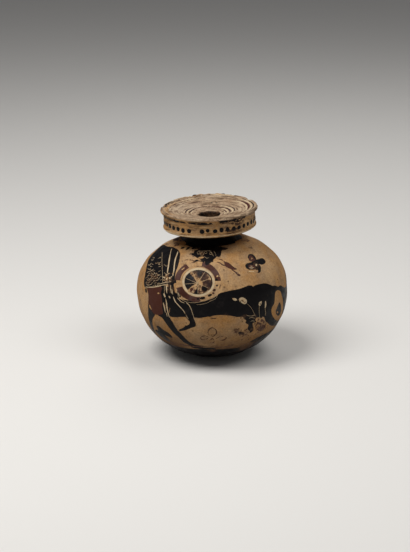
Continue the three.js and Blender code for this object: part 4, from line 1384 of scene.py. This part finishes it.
def paint_mouth(work):
    """Rings on the plate, the neck's slip, the bore's dark wall, and lines and stains of the edge band,
    some of it painted shade and highlight.
    """
    skin = work.skin
    part = skin.part
    outer = int(np.argmax(skin.radius))

    def dish(radius):
        """Climb of a radius on the plate's top."""
        return np.interp(-np.asarray(radius), -skin.radius[outer:], skin.climb[outer:])

    def under(radius):
        """Climb of a radius on the plate's underside."""
        turn = int(np.argmin(skin.radius[: outer // 2]))
        return float(np.interp(radius, skin.radius[turn:outer], skin.climb[turn:outer]))

    def band(height):
        """Climb of a height above the foot of the edge band."""
        low = int(np.searchsorted(skin.run, skin.run[outer] - part.plate_drop * 0.98))
        reach = slice(low, outer + 1)
        return np.interp(part.plate_edge_height + height, skin.height[reach], skin.climb[reach])

    def plan(points):
        """Chart places of points on the plate's top, seen from above with the front at -y."""
        x, y = np.asarray(points, float).T
        return np.column_stack([np.arctan2(x, -y), dish(np.hypot(x, y))])

    def unrolled(points):
        """Chart places on the edge band, to the right of the front and above its foot."""
        x, y = np.asarray(points, float).T
        return np.column_stack([x / part.plate_radius, band(y)])

    work.belt(-0.02, under(12.4), 1, 0, 0.01)
    # A pale line round the bead at the foot of the edge band: painted highlight.
    work.belt(band(0.4), band(0.75), PALE_SCRATCH_AND_HIGHLIGHT, 0, 0.001)
    # Thin dark slip over the bore's rounding and wall, partly slip and partly painted shade inside the
    # hole.
    work.belt(float(dish(4.65)), skin.climb[-1] + 0.02, 0.6, 0, 0.01)
    # Traces of the turned rings, nearly rubbed away
    for radius, width, film, red in ((18.1, 0.5, 0.5, 0), (16.3, 0.8, 0.52, 0.8), (14.6, 0.3, 0.46, 0.3),
            (13.4, 0.4, 0.46, 0.2), (10.2, 0.4, 0.48, 0.3), (8.5, 0.7, 0.54, 0.4), (7, 0.5, 0.5, 0.8)):
        work.belt(float(dish(radius + width / 2)), float(dish(radius - width / 2)), film, red, 0.004)
    # What is left of them: radius, from and to in degrees, widths, film and red
    work.to_chart = plan
    for radius, first, last, width, film, red in ((18.1, 62, 130, (0.3, 0.5, 0.4), 0.85, 0),
            (17.3, 56, 136, (0.3, 0.6, 0.6, 0.3), PALE_SCRATCH_AND_HIGHLIGHT, 0), (16.2, 72, 126, (0.5, 1, 1.1, 0.5), 0.98,
            0.8), (16.4, 126, 152, (0.4, 0.2), 0.66, 0.5), (16.4, 36, 72, (0.2, 0.45), 0.6, 0.5),
            (15.4, 60, 134, (0.3, 0.6, 0.3), PALE_SCRATCH_AND_HIGHLIGHT, 0), (14.6, 92, 142, (0.2, 0.4, 0.2), 0.62, 0.3),
            (18.7, -126, -96, (0.3, 0.7, 0.4), 0.92, 0), (17.8, -164, -140, (0.2, 0.45, 0.2), 0.66, 0.3),
            (17.1, -166, -138, (0.3, 0.5, 0.2), PALE_SCRATCH_AND_HIGHLIGHT, 0), (13.5, -168, -138, (0.3, 0.5, 0.2), 0.62,
            0.4), (12.3, -164, -140, (0.2, 0.4, 0.2), 0.58, 0.3), (14.8, -150, -122, (0.3, 0.5, 0.2),
            0.56, 0.3), (11.2, -158, -132, (0.3, 0.5, 0.2), 0.54, 0.2), (10.3, 96, 150, (0.2, 0.4, 0.2),
            0.64, 0.3), (9.5, 66, 150, (0.3, 0.55, 0.3), PALE_SCRATCH_AND_HIGHLIGHT, 0), (8.5, 76, 130, (0.3, 0.8, 0.5),
            0.98, 0.35), (8.2, 138, 176, (0.4, 0.7, 0.3), 0.7, 1), (7.6, 62, 142, (0.3, 0.45, 0.3),
            PALE_SCRATCH_AND_HIGHLIGHT, 0), (6.9, 84, 120, (0.3, 0.6, 0.3), 0.95, 0.6), (9.7, -138, -84, (0.3, 0.7, 0.3),
            0.95, 0.3), (8.9, -138, -76, (0.2, 0.4, 0.2), PALE_SCRATCH_AND_HIGHLIGHT, 0), (8.1, -136, -88, (0.2, 0.6, 0.3),
            0.92, 0.3), (7.4, -130, -70, (0.2, 0.35, 0.2), PALE_SCRATCH_AND_HIGHLIGHT, 0), (18.8, 146, 178,
            (0.2, 0.4, 0.2), PALE_SCRATCH_AND_HIGHLIGHT, 0), (19, -158, -110, (0.2, 0.4, 0.2), PALE_SCRATCH_AND_HIGHLIGHT, 0),
            (15.6, -176, -120, (0.15, 0.3, 0.15), PALE_SCRATCH_AND_HIGHLIGHT, 0), (12.9, -160, -96, (0.15, 0.35, 0.15),
            0.6, 0.2), (17.6, 150, 176, (0.2, 0.35, 0.2), 0.68, 0.2), (6.4, 70, 130, (0.2, 0.35, 0.2),
            PALE_SCRATCH_AND_HIGHLIGHT, 0), (10.4, 80, 128, (0.2, 0.5, 0.2), 0.85, 0.2), (9.4, 20, 50, (0.2, 0.4, 0.2),
            PALE_SCRATCH_AND_HIGHLIGHT, 0)):
        turn = np.radians(np.linspace(first, last, 9))
        work.brush(np.column_stack([radius * np.sin(turn), -radius * np.cos(turn)]), width, film, red)
    # A row of small dots, of which two at the back have kept their slip
    for k in range(36):
        turn = math.radians(-175 + 10 * k)
        film = 0.98 if 155 < -175 + 10 * k < 180 else 0.4
        work.coat(oval(11.8 * math.sin(turn), -11.8 * math.cos(turn), 0.5, 0.45, 0, 12), film)
    work.rub((-7, -9), 5, 0.4)
    work.rub((3, -15), 5, 0.4)
    work.to_chart = unrolled
    # The broken line under the lip, partly slip and partly painted shadow of the overhanging lip, and
    # stains of slip that ran over the right of the edge
    work.brush([-26, 6.7, -22, 6.4, -18.6, 6.2], (0.4, 0.9, 0.6), 0.8)
    work.brush([-18.4, 6.3, -15, 6.2, -12.5, 6.3, -10.4, 6], (0.5, 1.2, 1, 0.5))
    work.brush([-9.6, 6.4, -6.5, 6.1, -3, 6, 1.2, 5.9], (0.6, 1.1, 1.3, 0.7))
    work.brush([1.4, 6, 6, 6.1, 11, 6.3, 16, 6.5], (0.7, 1.3, 1.2, 0.6), 0.97)
    stains = (([2, 6.9, 3.6, 5, 6, 4.4, 9, 4.6, 12, 3.6, 15, 3.9, 17.4, 5, 18, 6.6, 14, 7.2, 8, 7.2,
        4, 7.3], 0.44), ([2.6, 6.8, 4.4, 5.4, 7, 5.4, 10, 5.8, 13, 5, 15.6, 5.6, 16.4, 6.8, 12, 7.1, 7, 7,
        4, 7.1], 0.7), ([3.2, 6.6, 4.6, 5.8, 6.2, 6, 8, 5.9, 8.4, 6.8, 5.6, 7.1], 1),
        ([9.6, 6.7, 10.6, 6, 12.4, 6.1, 13.6, 5.7, 14.4, 6.6, 11, 7], 1), ([15.2, 7, 16.4, 6.2, 17.8, 6.5,
        17, 7.2], 0.95), ([5, 2, 9, 1.5, 13, 1.8, 15, 2.8, 11, 3.1, 6, 2.9], 0.5),
        ([-28.6, 6.8, -27.4, 5.8, -25, 5.4, -24.4, 5.9, -26.2, 6.7], 0.85), ([32, 6.8, 34, 5.9, 38, 5.7,
        39, 6.8, 35, 7.1], 0.8), ([-40, 6.8, -37, 5.8, -33, 5.9, -34, 6.9], 0.8),
        ([-54, 6.8, -50, 5.6, -46, 6, -48, 7], 0.75), ([45, 6.8, 48, 5.8, 54, 5.9, 52, 7], 0.75))
    for outline, film in stains:
        work.fill(outline, film)
    # The line is ragged: flecks of slip beside it, and flakes lost from it
    chance = np.random.default_rng(29)
    for k in range(52):
        x, y = chance.uniform(-20, 19), chance.uniform(5.6, 7)
        long, high, tilt = chance.uniform(0.2, 0.75), chance.uniform(0.12, 0.32), chance.uniform(-25, 25)
        work.coat(oval(x, y, long, high, tilt, 8), 0 if k % 2 else 0.97)
    work.fill([0.5, 7.2, 3.8, 7.2, 2.3, 5.2], 0)
    work.brush([2, 1.5, 8, 1.2, 15.4, 1.5], (0.2, 0.35, 0.2), 0.7)
    work.brush([-24.2, 5.4, -23.8, 3.6, -23.9, 1.9], (0.3, 0.4, 0.2), 0.6)
    work.brush([-22.4, 3.4, -22.2, 1.6], 0.3, 0.58)


def chip(centre, radius, depth):
    """A dent that breaks away material round a place, in millimetres."""
    centre = np.array(centre, float)

    def dent(points):
        away = points - centre
        near = np.linalg.norm(away, axis=1) / radius
        push = depth * np.clip(1 - near**2, 0, 1) ** 1.4
        inward = np.column_stack([-points[:, 0], -points[:, 1], np.full(len(points), -14.0)])
        inward /= np.maximum(np.linalg.norm(inward, axis=1), 1e-6)[:, None]
        return points + inward * push[:, None]

    return dent


def worn_lip(part):
    """Small irregular losses along the lip's corner."""

    def dent(points):
        r = np.hypot(points[:, 0], points[:, 1])
        near = np.clip(1 - np.abs(r - part.plate_radius + 0.5) / 1.3, 0, 1)
        near *= np.clip((points[:, 2] - part.lip_top + 2.4) / 1.6, 0, 1)
        moved = points.copy()
        for i in np.flatnonzero(near > 0):
            x, y, z = points[i]
            loss = mathutils.noise.fractal((x * 0.42, y * 0.42, z * 0.3), 0.8, 2.1, 4)
            loss = max(loss, -0.2) * 0.8 * near[i]
            moved[i] = (x * (1 - loss / r[i]), y * (1 - loss / r[i]), z - loss * 0.6)
        return moved

    return dent


# Operators


class ARYBALLOS_OT_body(bpy.types.Operator):
    """Makes the painted body over the frame's body"""

    bl_idname = "aryballos.body"
    bl_label = "Painted body"

    def execute(self, context):
        part = lengths()
        habits = context.scene.aryballos_habits
        skin = Skin(part, belly_and_shoulder(part), habits.unevenness * 1000)
        work = Brushwork(skin)
        paint_body(work, Board(context.scene.aryballos_studio))
        clay = Clay()
        clay.add_skin(work, habits.body_spacing * 1000, habits.turns, habits.seed)
        turn = np.linspace(-math.pi, math.pi, habits.turns + 1)

        def ring(radius, height):
            return skin.lean(around(radius, turn, height))

        foot = skin.rim(turn, 0)
        depth, reach = part.dimple_depth, part.dimple_radius
        press = [ring(reach * share, depth * (1 - share**2)) for share in (0.2, 0.4, 0.6, 0.8, 1)]
        clay.add_rings([*press, foot], 0.85, tip=((0, 0, depth), True))
        seat = skin.rim(turn, skin.climb[-1])
        wall = inner_wall(part, habits.ridges)
        inside = [seat, *(ring(r, z) for r, z in [(part.bore_radius, part.seat_height), *wall[:-1]])]
        floor = skin.lean(np.array([[0.0, 0.0, wall[-1][1]]]))[0]
        clay.add_rings(inside, tip=(floor, False))
        mesh = clay.mesh("painted_body")
        finished(mesh, "painted_body", painted_finish("painted_clay"), "fired_clay", "body")
        return {"FINISHED"}


class ARYBALLOS_OT_mouthpiece(bpy.types.Operator):
    """Makes the painted neck and mouth plate"""

    bl_idname = "aryballos.mouthpiece"
    bl_label = "Painted mouthpiece"

    def execute(self, context):
        part = lengths()
        habits = context.scene.aryballos_habits
        skin = Skin(part, mouth_meridian(part), habits.unevenness * 1000 * 0.7)
        work = Brushwork(skin)
        paint_mouth(work)
        clay = Clay()
        top = part.lip_top
        dents = (chip((0.4, -20.1, top), 2.0, 0.7), chip((-2.6, -20.1, top + 0.2), 1.4, 0.35),
            chip((16.2, 10.2, top + 0.4), 2.6, 0.8), chip((-17.4, -9.3, top - 0.6), 1.8, 0.4),
            chip((18.8, -5.0, top + 0.6), 1.5, 0.3), chip((-20.4, 4.6, top - 0.8), 2.2, 0.45),
            worn_lip(part))
        clay.add_skin(work, habits.mouth_spacing * 1000, habits.turns, habits.seed + 1, dents)
        turn = np.linspace(-math.pi, math.pi, habits.turns + 1)
        clay.add_rings([skin.rim(turn, skin.climb[-1]), skin.rim(turn, 0)])
        mesh = clay.mesh("painted_mouthpiece")
        finish = painted_finish("worn_plate_clay", 0.6, 0.35, streaks=0.8)
        finished(mesh, "painted_mouthpiece", finish, "fired_clay", "mouthpiece")
        return {"FINISHED"}


class ARYBALLOS_OT_neck_luting(bpy.types.Operator):
    """Makes the brushed fillet of slip where the neck meets the shoulder"""

    bl_idname = "aryballos.neck_luting"
    bl_label = "Neck luting"

    def execute(self, context):
        part = lengths()
        habits = context.scene.aryballos_habits
        skin = Skin(part, belly_and_shoulder(part), 0.0)
        turn = np.linspace(-math.pi, math.pi, habits.turns * 2 + 1)
        reach = part.seat_radius + part.fillet_reach + 0.25 * np.sin(turn * 3 + 1)
        reach += 0.15 * np.sin(turn * 7)
        neck = part.neck_foot - 0.35
        climb = 0.3 + part.fillet_height
        low = part.seat_height + 0.25
        rings = [around(radius, turn, height) for radius, height in ((part.seat_radius - 0.4, low),
            (part.bore_radius, low), (part.bore_radius, low + 0.6), (neck, low + 0.6))]
        for share in np.linspace(0, 1, 12):
            out = neck + (reach - neck) * share
            ground = shoulder_height(part, np.maximum(out, part.seat_radius))
            lift = climb * (1 - share) ** 2.6 - 0.12 * share**6
            height = ground + lift + 0.06 * np.sin(turn * 4) * share * (1 - share)
            rings.append(around(out, turn, height))
        rings.append(rings[0])
        clay = Clay()
        clay.add_rings([skin.lean(ring) for ring in rings[::-1]], 1.0)
        worn = skin.lean(np.array([[11.0, -6.0, part.seat_height + 0.6]]))[0]
        for i, point in enumerate(clay.points):
            away = np.linalg.norm(np.array(point) - worn) / 5.0
            clay.rub[i] = 0.45 * float(np.clip(1.2 - away, 0, 1))
        mesh = clay.mesh("neck_fillet", 60)
        finish = painted_finish("brushed_black_slip", wear=0.15)
        finished(mesh, "neck_fillet", finish, "black_slip", "neck_luting")
        return {"FINISHED"}


def strap_path(part):
    """Handles of the strap's middle line in the plane of the handle, as (y, z)."""
    head = part.lip_top - part.lip_height - part.strap_thickness / 2
    radius = part.body_radius - part.strap_root_inset
    root = shoulder_height(part, radius)
    bow = part.plate_radius + part.strap_stand_off
    thick = part.strap_thickness
    return [(part.plate_radius - part.lip_width, head), (bow + thick / 2, head + thick / 4),
        (bow + thick / 3, root + thick * 2), (radius, root - thick)]


def strap_section(part, share):
    """A ring round the strap at a share of its path."""
    sides, exponent, steps = 64, 4, 400
    fine = bezier(strap_path(part), steps)
    columns = np.column_stack([fine, np.gradient(fine, axis=0)]).T
    y, z, *way = (np.interp(share * steps, np.arange(steps + 1), column) for column in columns)
    forward, upward = np.array(way) / np.linalg.norm(way)
    width = part.strap_waist + (part.strap_width - part.strap_waist) * (2 * share - 1) ** 2
    turn = np.linspace(0, 2 * math.pi, sides + 1)
    c, s = np.cos(turn), np.sin(turn)
    across = np.sign(c) * np.abs(c) ** (2 / exponent) * width / 2
    deep = np.sign(s) * np.abs(s) ** (2 / exponent) * part.strap_thickness / 2
    return np.column_stack([across, y - upward * deep, z + forward * deep])


def strap_tree():
    """Geometry nodes of a pulled strap: a rounded bar swept along a curve, waisted."""
    made, given = new_group("pulled_strap", {"Start": "Vector", "Start Handle": "Vector",
        "End Handle": "Vector", "End": "Vector", "Width": 0.0145, "Waist": 0.86,
        "Thickness": 0.0036, "Corner": 0.0012, "Ridge": 0.0002, "Material": "Material"},
        {"Geometry": "Geometry"}, "GeometryNodeTree")
    ends = {name: given[name] for name in ("Start", "Start Handle", "End Handle", "End")}
    line = made.add("GeometryNodeCurvePrimitiveBezierSegment", {"Resolution": 96, **ends})
    even = made.add("GeometryNodeResampleCurve", {"Curve": line, "Count": 97})
    along = made.add("GeometryNodeSplineParameter", out="Factor")
    marked = made.add("GeometryNodeStoreNamedAttribute", {"Geometry": even, "Name": "along",
        "Value": along}, domain="POINT", data_type="FLOAT")
    bar = made.add("GeometryNodeCurvePrimitiveQuadrilateral", {"Width": given["Width"],
        "Height": given["Thickness"]})
    soft = made.add("GeometryNodeFilletCurve", {"Curve": bar, "Count": 7,
        "Radius": given["Corner"]}, mode="POLY")
    dense = made.add("GeometryNodeResampleCurve", {"Curve": soft, "Length": 0.0006}, mode="LENGTH")
    swept = made.add("GeometryNodeCurveToMesh", {"Curve": marked, "Profile Curve": dense,
        "Fill Caps": True})
    x, y, z = made.split(made.add("GeometryNodeInputPosition"))
    how_far = made.add("GeometryNodeInputNamedAttribute", {"Name": "along"}, data_type="FLOAT")
    centred = made.math("MULTIPLY_ADD", how_far, 2.0, -1.0)
    spare = made.math("SUBTRACT", 1.0, given["Waist"])
    factor = made.math("MULTIPLY_ADD", made.times(centred, centred), spare, given["Waist"])
    x = made.times(x, factor)
    waisted = made.add("GeometryNodeSetPosition", {"Geometry": swept, "Position": made.join(x, y, z)})
    # Two shallow finger grooves run down the strap.
    depth = made.times(made.math("COSINE", made.times(x, 1900.0)), given["Ridge"])
    push = made.vector("SCALE", made.add("GeometryNodeInputNormal"), depth)
    grooved = made.add("GeometryNodeSetPosition", {"Geometry": waisted, "Offset": push})
    whole = made.add("GeometryNodeRealizeInstances", {0: grooved})
    made.give(Geometry=made.add("GeometryNodeSetMaterial", {"Geometry": whole,
        "Material": given["Material"]}))
    return made.tree


def grown_mesh(tree, name, values):
    """Runs geometry nodes once and returns what they grow as a plain mesh."""
    seed = put(name + "_seed", bpy.data.meshes.new(name + "_seed"))
    modifier = seed.modifiers.new("grow", "NODES")
    modifier.node_group = tree
    for item in tree.interface.items_tree:
        if item.item_type == "SOCKET" and item.in_out == "INPUT" and item.name in values:
            modifier[item.identifier] = values[item.name]
    bpy.context.view_layer.update()
    graph = bpy.context.evaluated_depsgraph_get()
    mesh = bpy.data.meshes.new_from_object(seed.evaluated_get(graph))
    mesh.name = name
    seed.modifiers.remove(modifier)
    bpy.data.objects.remove(seed)
    if not len(mesh.polygons):
        raise RuntimeError(name + ": the nodes grew nothing")
    return mesh


def move_points(mesh, change):
    """Moves a mesh's points by a function of their places in millimetres."""
    places = np.empty(len(mesh.vertices) * 3)
    mesh.vertices.foreach_get("co", places)
    moved = change(places.reshape(-1, 3) * 1000) * 0.001
    mesh.vertices.foreach_set("co", moved.ravel())
    mesh.update()


class ARYBALLOS_OT_strap(bpy.types.Operator):
    """Makes the pulled strap handle with its painted bars"""

    bl_idname = "aryballos.strap"
    bl_label = "Strap handle"

    def execute(self, context):
        part = lengths()
        skin = Skin(part, belly_and_shoulder(part), 0.0)
        finish = painted_finish("painted_clay")

        def spot(point, forward=0, up=0):
            return (0, point[0] / 1000 + forward, point[1] / 1000 + up)

        start, one, two, end = strap_path(part)
        mesh = grown_mesh(strap_tree(), "painted_strap", {"Start": spot(start, 0.0016),
            "Start Handle": spot(one), "End Handle": spot(two), "End": spot(end, 0.0004, 0.0022),
            "Width": part.strap_width / 1000, "Waist": part.strap_waist / part.strap_width,
            "Thickness": part.strap_thickness / 1000, "Corner": 0.0013, "Ridge": 0.00014,
            "Material": finish})
        move_points(mesh, skin.lean)
        along = np.zeros(len(mesh.vertices))
        mesh.attributes["along"].data.foreach_get("value", along)
        film, gap = [], []
        for face in mesh.polygons:
            share = float(np.mean([along[i] for i in face.vertices]))
            outside = face.normal.y > 0.1 or (face.normal.z > 0.6 and share < 0.4)
            edge = abs(face.center.x + 0.0012) > part.strap_waist / 1000 * 0.42
            bar = 0.22 < share < 0.86 and (share * 17) % 2 < 0.9
            film.append(0.9 if outside and (bar or edge) else 0.0)
        rub = [0.4 * max(0.0, 1 - abs(a - 0.35) / 0.2) for a in along]
        set_attribute(mesh, "film", "FACE", film)
        set_attribute(mesh, "red", "FACE", np.zeros(len(film)))
        set_attribute(mesh, "rub", "POINT", rub)
        set_attribute(mesh, "gap", "POINT", np.ones(len(along)))
        mesh.shade_smooth()
        mesh.set_sharp_from_angle(angle=math.radians(60))
        finished(mesh, "painted_strap", finish, "fired_clay", "strap_handle")
        return {"FINISHED"}


def smeared_pad(part, skin, near, far, ground):
    """A skirt of clay smeared from the strap on to what it joins.
    near and far are shares of the strap's path; ground puts points on the surface joined."""
    first = strap_section(part, near)
    landed = ground(strap_section(part, far), 0)
    centre = landed[:-1].mean(axis=0)
    away = landed - centre
    spread = landed + away / np.linalg.norm(away, axis=1)[:, None] * 1.5
    turn = np.linspace(0, 2 * math.pi, len(first))
    wobble = 0.25 * np.sin(turn * 3) + 0.2 * np.sin(turn * 5 + 1)
    spread = spread + away / np.linalg.norm(away, axis=1)[:, None] * wobble[:, None]
    outer = ground(spread, 0.0)
    buried = ground(spread, -0.25)
    rings = []
    for share in np.linspace(0, 1, 9):
        a = first * (1 - share) + landed * share
        b = landed * (1 - share) + outer * share
        rings.append(a * (1 - share) + b * share)
    inner = first + (first.mean(axis=0) - first) * 0.06
    sunk_middle = ground((landed + centre) / 2, -0.25)
    clay = Clay()
    order = [inner, *rings, buried, sunk_middle]
    order = [skin.lean(ring) for ring in order]
    clay.add_rings(order, tip=(order[-1][:-1].mean(axis=0), False))
    return clay


class ARYBALLOS_OT_lutings(bpy.types.Operator):
    """Makes the two clay smears that hold the strap at the lip and the shoulder"""

    bl_idname = "aryballos.lutings"
    bl_label = "Handle lutings"

    def execute(self, context):
        part = lengths()
        skin = Skin(part, belly_and_shoulder(part), 0.0)

        def on_plate(points, lift):
            """Points moved level on to the plate's edge band."""
            low, high = part.plate_edge_height + 0.4, part.lip_top - 0.35
            z = np.clip(points[:, 2], low, high)
            radius = part.plate_radius - 0.45 + lift
            turn = np.arctan2(points[:, 0], points[:, 1])
            return np.column_stack([radius * np.sin(turn), radius * np.cos(turn), z])

        def on_shoulder(points, lift):
            """Points moved on to the shoulder along the line to the body's middle."""
            middle = np.array([0.0, 0.0, part.girth_height - 4])
            found = []
            for point in points:
                ray = point - middle
                low, high = 0.4, 1.6
                for _ in range(26):
                    at = (low + high) / 2
                    x, y, z = middle + ray * at
                    limit = np.interp(z, skin.height, skin.radius)
                    if math.hypot(x, y) < limit and z < skin.height[-1]:
                        low = at
                    else:
                        high = at
                size = np.linalg.norm(ray)
                found.append(middle + ray * (low + lift / size))
            return np.array(found)

        finish = painted_finish("painted_clay")
        for name, node, near, far, ground in (("strap_head_smear", "handle_head_luting", 0.12, 0.04,
                on_plate), ("strap_root_smear", "handle_root_luting", 0.74, 0.87, on_shoulder)):
            mesh = smeared_pad(part, skin, near, far, ground).mesh(name, 70)
            if mesh_volume(mesh) < 0:
                mesh.flip_normals()
            finished(mesh, name, finish, "fired_clay", node)
        return {"FINISHED"}


def mesh_volume(mesh):
    """Volume that a mesh encloses, negative where its faces point inwards."""
    solid = bmesh.new()
    solid.from_mesh(mesh)
    volume = solid.calc_volume(signed=True)
    solid.free()
    return volume


def dot_tree():
    """Geometry nodes of a ring of slip dots set by hand round the mouth."""
    made, given = new_group("slip_dots", {"Count": 48, "Ring Radius": 0.019, "Height": 0.058,
        "Dot Radius": 0.0006, "Relief": 0.25, "Stray": 0.0002, "Lost Share": 0.06, "Seed": 3,
        "Lost Seed": 4, "Material": "Material"}, {"Geometry": "Geometry"}, "GeometryNodeTree")
    circle = made.add("GeometryNodeMeshCircle", {"Vertices": given["Count"],
        "Radius": given["Ring Radius"]})
    stray = given["Stray"]
    back = made.times(stray, -1.0)
    jitter = made.add("FunctionNodeRandomValue", {"Min": made.join(back, back, back),
        "Max": made.join(stray, stray, stray), "Seed": given["Seed"]}, data_type="FLOAT_VECTOR")
    outward = made.vector("NORMALIZE", made.add("GeometryNodeInputPosition"))
    # Stray only along the surface: what points outwards is taken away again.
    out_share = made.vector("DOT_PRODUCT", jitter, outward, "Value")
    level = made.vector("SUBTRACT", jitter, made.vector("SCALE", outward, out_share))
    shift = made.vector("ADD", level, made.join(z=given["Height"]))
    faced = made.add("FunctionNodeAlignRotationToVector", {"Vector": outward}, axis="Z")
    turned = made.add("FunctionNodeAlignRotationToVector", {"Rotation": faced,
        "Vector": (0.0, 0.0, 1.0)}, axis="Y", pivot_axis="Z")
    lost = made.add("FunctionNodeRandomValue", {"Probability": given["Lost Share"],
        "Seed": given["Lost Seed"]}, 3, data_type="BOOLEAN")
    kept = made.add("GeometryNodeDeleteGeometry", {"Geometry": circle, "Selection": lost}, domain="POINT")
    size = made.add("FunctionNodeRandomValue", {"Min": (0.95, 0.95, 0.8), "Max": (1.3, 1.35, 1.0),
        "Seed": given["Seed"]}, data_type="FLOAT_VECTOR")
    drop = made.add("GeometryNodeMeshUVSphere", {"Segments": 18, "Rings": 10,
        "Radius": given["Dot Radius"]})
    pressed = made.add("GeometryNodeTransform", {"Geometry": drop,
        "Scale": made.join(1.0, 1.0, given["Relief"])})
    dots = made.add("GeometryNodeInstanceOnPoints", {"Points": kept, "Instance": pressed,
        "Rotation": turned, "Scale": size})
    moved = made.add("GeometryNodeTranslateInstances", {"Instances": dots, "Translation": shift,
        "Local Space": False})
    whole = made.add("GeometryNodeRealizeInstances", {0: moved})
    smooth = made.add("GeometryNodeSetShadeSmooth", {0: whole})
    made.give(Geometry=made.add("GeometryNodeSetMaterial", {"Geometry": smooth,
        "Material": given["Material"]}))
    return made.tree


class ARYBALLOS_OT_dots(bpy.types.Operator):
    """Makes the row of slip dots round the mouth's edge"""

    bl_idname = "aryballos.dots"
    bl_label = "Slip dots"

    def execute(self, context):
        part = lengths()
        habits = context.scene.aryballos_habits
        skin = Skin(part, mouth_meridian(part), habits.unevenness * 1000 * 0.7)
        finish = painted_finish("dotted_slip", wear=0.1, whole_film=1.0)
        outer = int(np.argmax(skin.radius))
        knot = int(np.searchsorted(skin.height[:outer], part.plate_edge_height + 2.8))
        mesh = grown_mesh(dot_tree(), "edge_dots", {"Count": 44, "Ring Radius": skin.radius[knot] / 1000,
            "Height": skin.height[knot] / 1000, "Dot Radius": 0.00079, "Relief": 0.18, "Stray": 0.00026,
            "Lost Share": 0.05, "Seed": 5, "Lost Seed": 80, "Material": finish})

        def settle(points):
            """Sets the dots on the uneven skin, then leans them."""
            c, s = math.cos(0.03), math.sin(0.03)
            x, y, z = points.T
            points = np.column_stack([x * c + y * s, y * c - x * s, z])
            turn = np.arctan2(points[:, 0], -points[:, 1])
            off = skin.stray(turn, skin.run[knot]) + 0.03
            out = np.column_stack([np.sin(turn), -np.cos(turn), np.zeros(len(turn))])
            out *= skin.out_r[knot]
            out[:, 2] = skin.out_z[knot]
            return skin.lean(points + out * off[:, None])

        move_points(mesh, settle)
        finished(mesh, "edge_dots", finish, "black_slip")
        return {"FINISHED"}


class ARYBALLOS_OT_studio(bpy.types.Operator):
    """Makes the floor, the soft lamps and the camera"""

    bl_idname = "aryballos.studio"
    bl_label = "Studio"

    def execute(self, context):
        scene = context.scene
        studio = scene.aryballos_studio
        board = Board(studio)
        size = 3.0
        mesh = bpy.data.meshes.new("studio_floor")
        mesh.from_pydata([(-size, -size, 0), (size, -size, 0), (size, size, 0), (-size, size, 0)], [],
            [(0, 1, 2, 3)])
        paint = bpy.data.materials.new("studio_floor")
        paint.use_nodes = True
        shader = paint.node_tree.nodes["Principled BSDF"]
        shader.inputs["Base Color"].default_value = (*scene.aryballos_colours.floor, 1)
        shader.inputs["Roughness"].default_value = 0.9
        mesh.materials.append(paint)
        put("studio_floor", mesh)
        middle = mathutils.Vector((0, 0, studio.centre_height))
        for name, azimuth, height, away, wide, power in (("key", -62, 60, 0.55, 0.34,
                studio.key_power), ("fill", 62, 58, 0.6, 0.34, studio.fill_power),
                ("back", 165, 50, 0.6, 0.36, studio.back_power)):
            lamp = bpy.data.lights.new(name, "AREA")
            lamp.shape = "DISK"
            lamp.size = wide
            lamp.energy = power
            made = put(name, lamp)
            a, e = math.radians(azimuth), math.radians(height)
            towards = mathutils.Vector((math.sin(a) * math.cos(e), -math.cos(a) * math.cos(e),
                math.sin(e)))
            made.location = middle + towards * away
            made.rotation_euler = towards.to_track_quat("Z", "Y").to_euler()
        world = bpy.data.worlds.new("studio_world")
        scene.world = world
        world.use_nodes = True
        made = Nodes(world.node_tree)
        ground = made.tree.nodes["Background"]
        seen = made.add("ShaderNodeLightPath", out="Is Camera Ray")
        strength = made.add("ShaderNodeMix", {0: seen, 2: studio.world_light, 3: 0.85})
        made.feed(ground, "Color", (0.96, 0.97, 1.0, 1.0))
        made.feed(ground, "Strength", strength)
        lens = bpy.data.cameras.new("camera")
        lens.lens = studio.lens
        lens.sensor_width = 36
        lens.clip_start = 0.05
        camera = put("camera", lens)
        camera.location = mathutils.Vector(board.eye) * 0.001
        back = -mathutils.Vector(board.ahead)
        camera.rotation_euler = back.to_track_quat("Z", "Y").to_euler()
        scene.camera = camera
        scene.view_settings.view_transform = "Standard"
        return {"FINISHED"}


class ARYBALLOS_PT_sidebar(bpy.types.Panel):
    """Sizes, colours and pieces of the flask"""

    bl_label = "Aryballos"
    bl_idname = "ARYBALLOS_PT_sidebar"
    bl_space_type = "VIEW_3D"
    bl_region_type = "UI"
    bl_category = "Aryballos"

    def draw(self, context):
        scene = context.scene
        for group in (scene.aryballos_lengths, scene.aryballos_habits, scene.aryballos_colours,
                scene.aryballos_studio):
            box = self.layout.box()
            for name in type(group).__annotations__:
                box.prop(group, name)
        for operator in OPERATORS:
            self.layout.operator(operator.bl_idname)


OPERATORS = (ARYBALLOS_OT_studio, ARYBALLOS_OT_body, ARYBALLOS_OT_mouthpiece, ARYBALLOS_OT_neck_luting,
    ARYBALLOS_OT_strap, ARYBALLOS_OT_lutings, ARYBALLOS_OT_dots)
GROUPS = {"aryballos_lengths": FlaskLengths, "aryballos_habits": FlaskHabits,
    "aryballos_colours": FlaskColours, "aryballos_studio": Studio}


def register():
    for group in GROUPS.values():
        bpy.utils.register_class(group)
    for name, group in GROUPS.items():
        setattr(bpy.types.Scene, name, bpy.props.PointerProperty(type=group))
    for made in (*OPERATORS, ARYBALLOS_PT_sidebar):
        bpy.utils.register_class(made)


def unregister():
    for made in reversed((*OPERATORS, ARYBALLOS_PT_sidebar)):
        bpy.utils.unregister_class(made)
    for name in GROUPS:
        delattr(bpy.types.Scene, name)
    for group in GROUPS.values():
        bpy.utils.unregister_class(group)


def main():
    register()
    for operator in OPERATORS:
        getattr(bpy.ops.aryballos, operator.bl_idname.split(".")[1])()


if __name__ == "__main__":
    main()
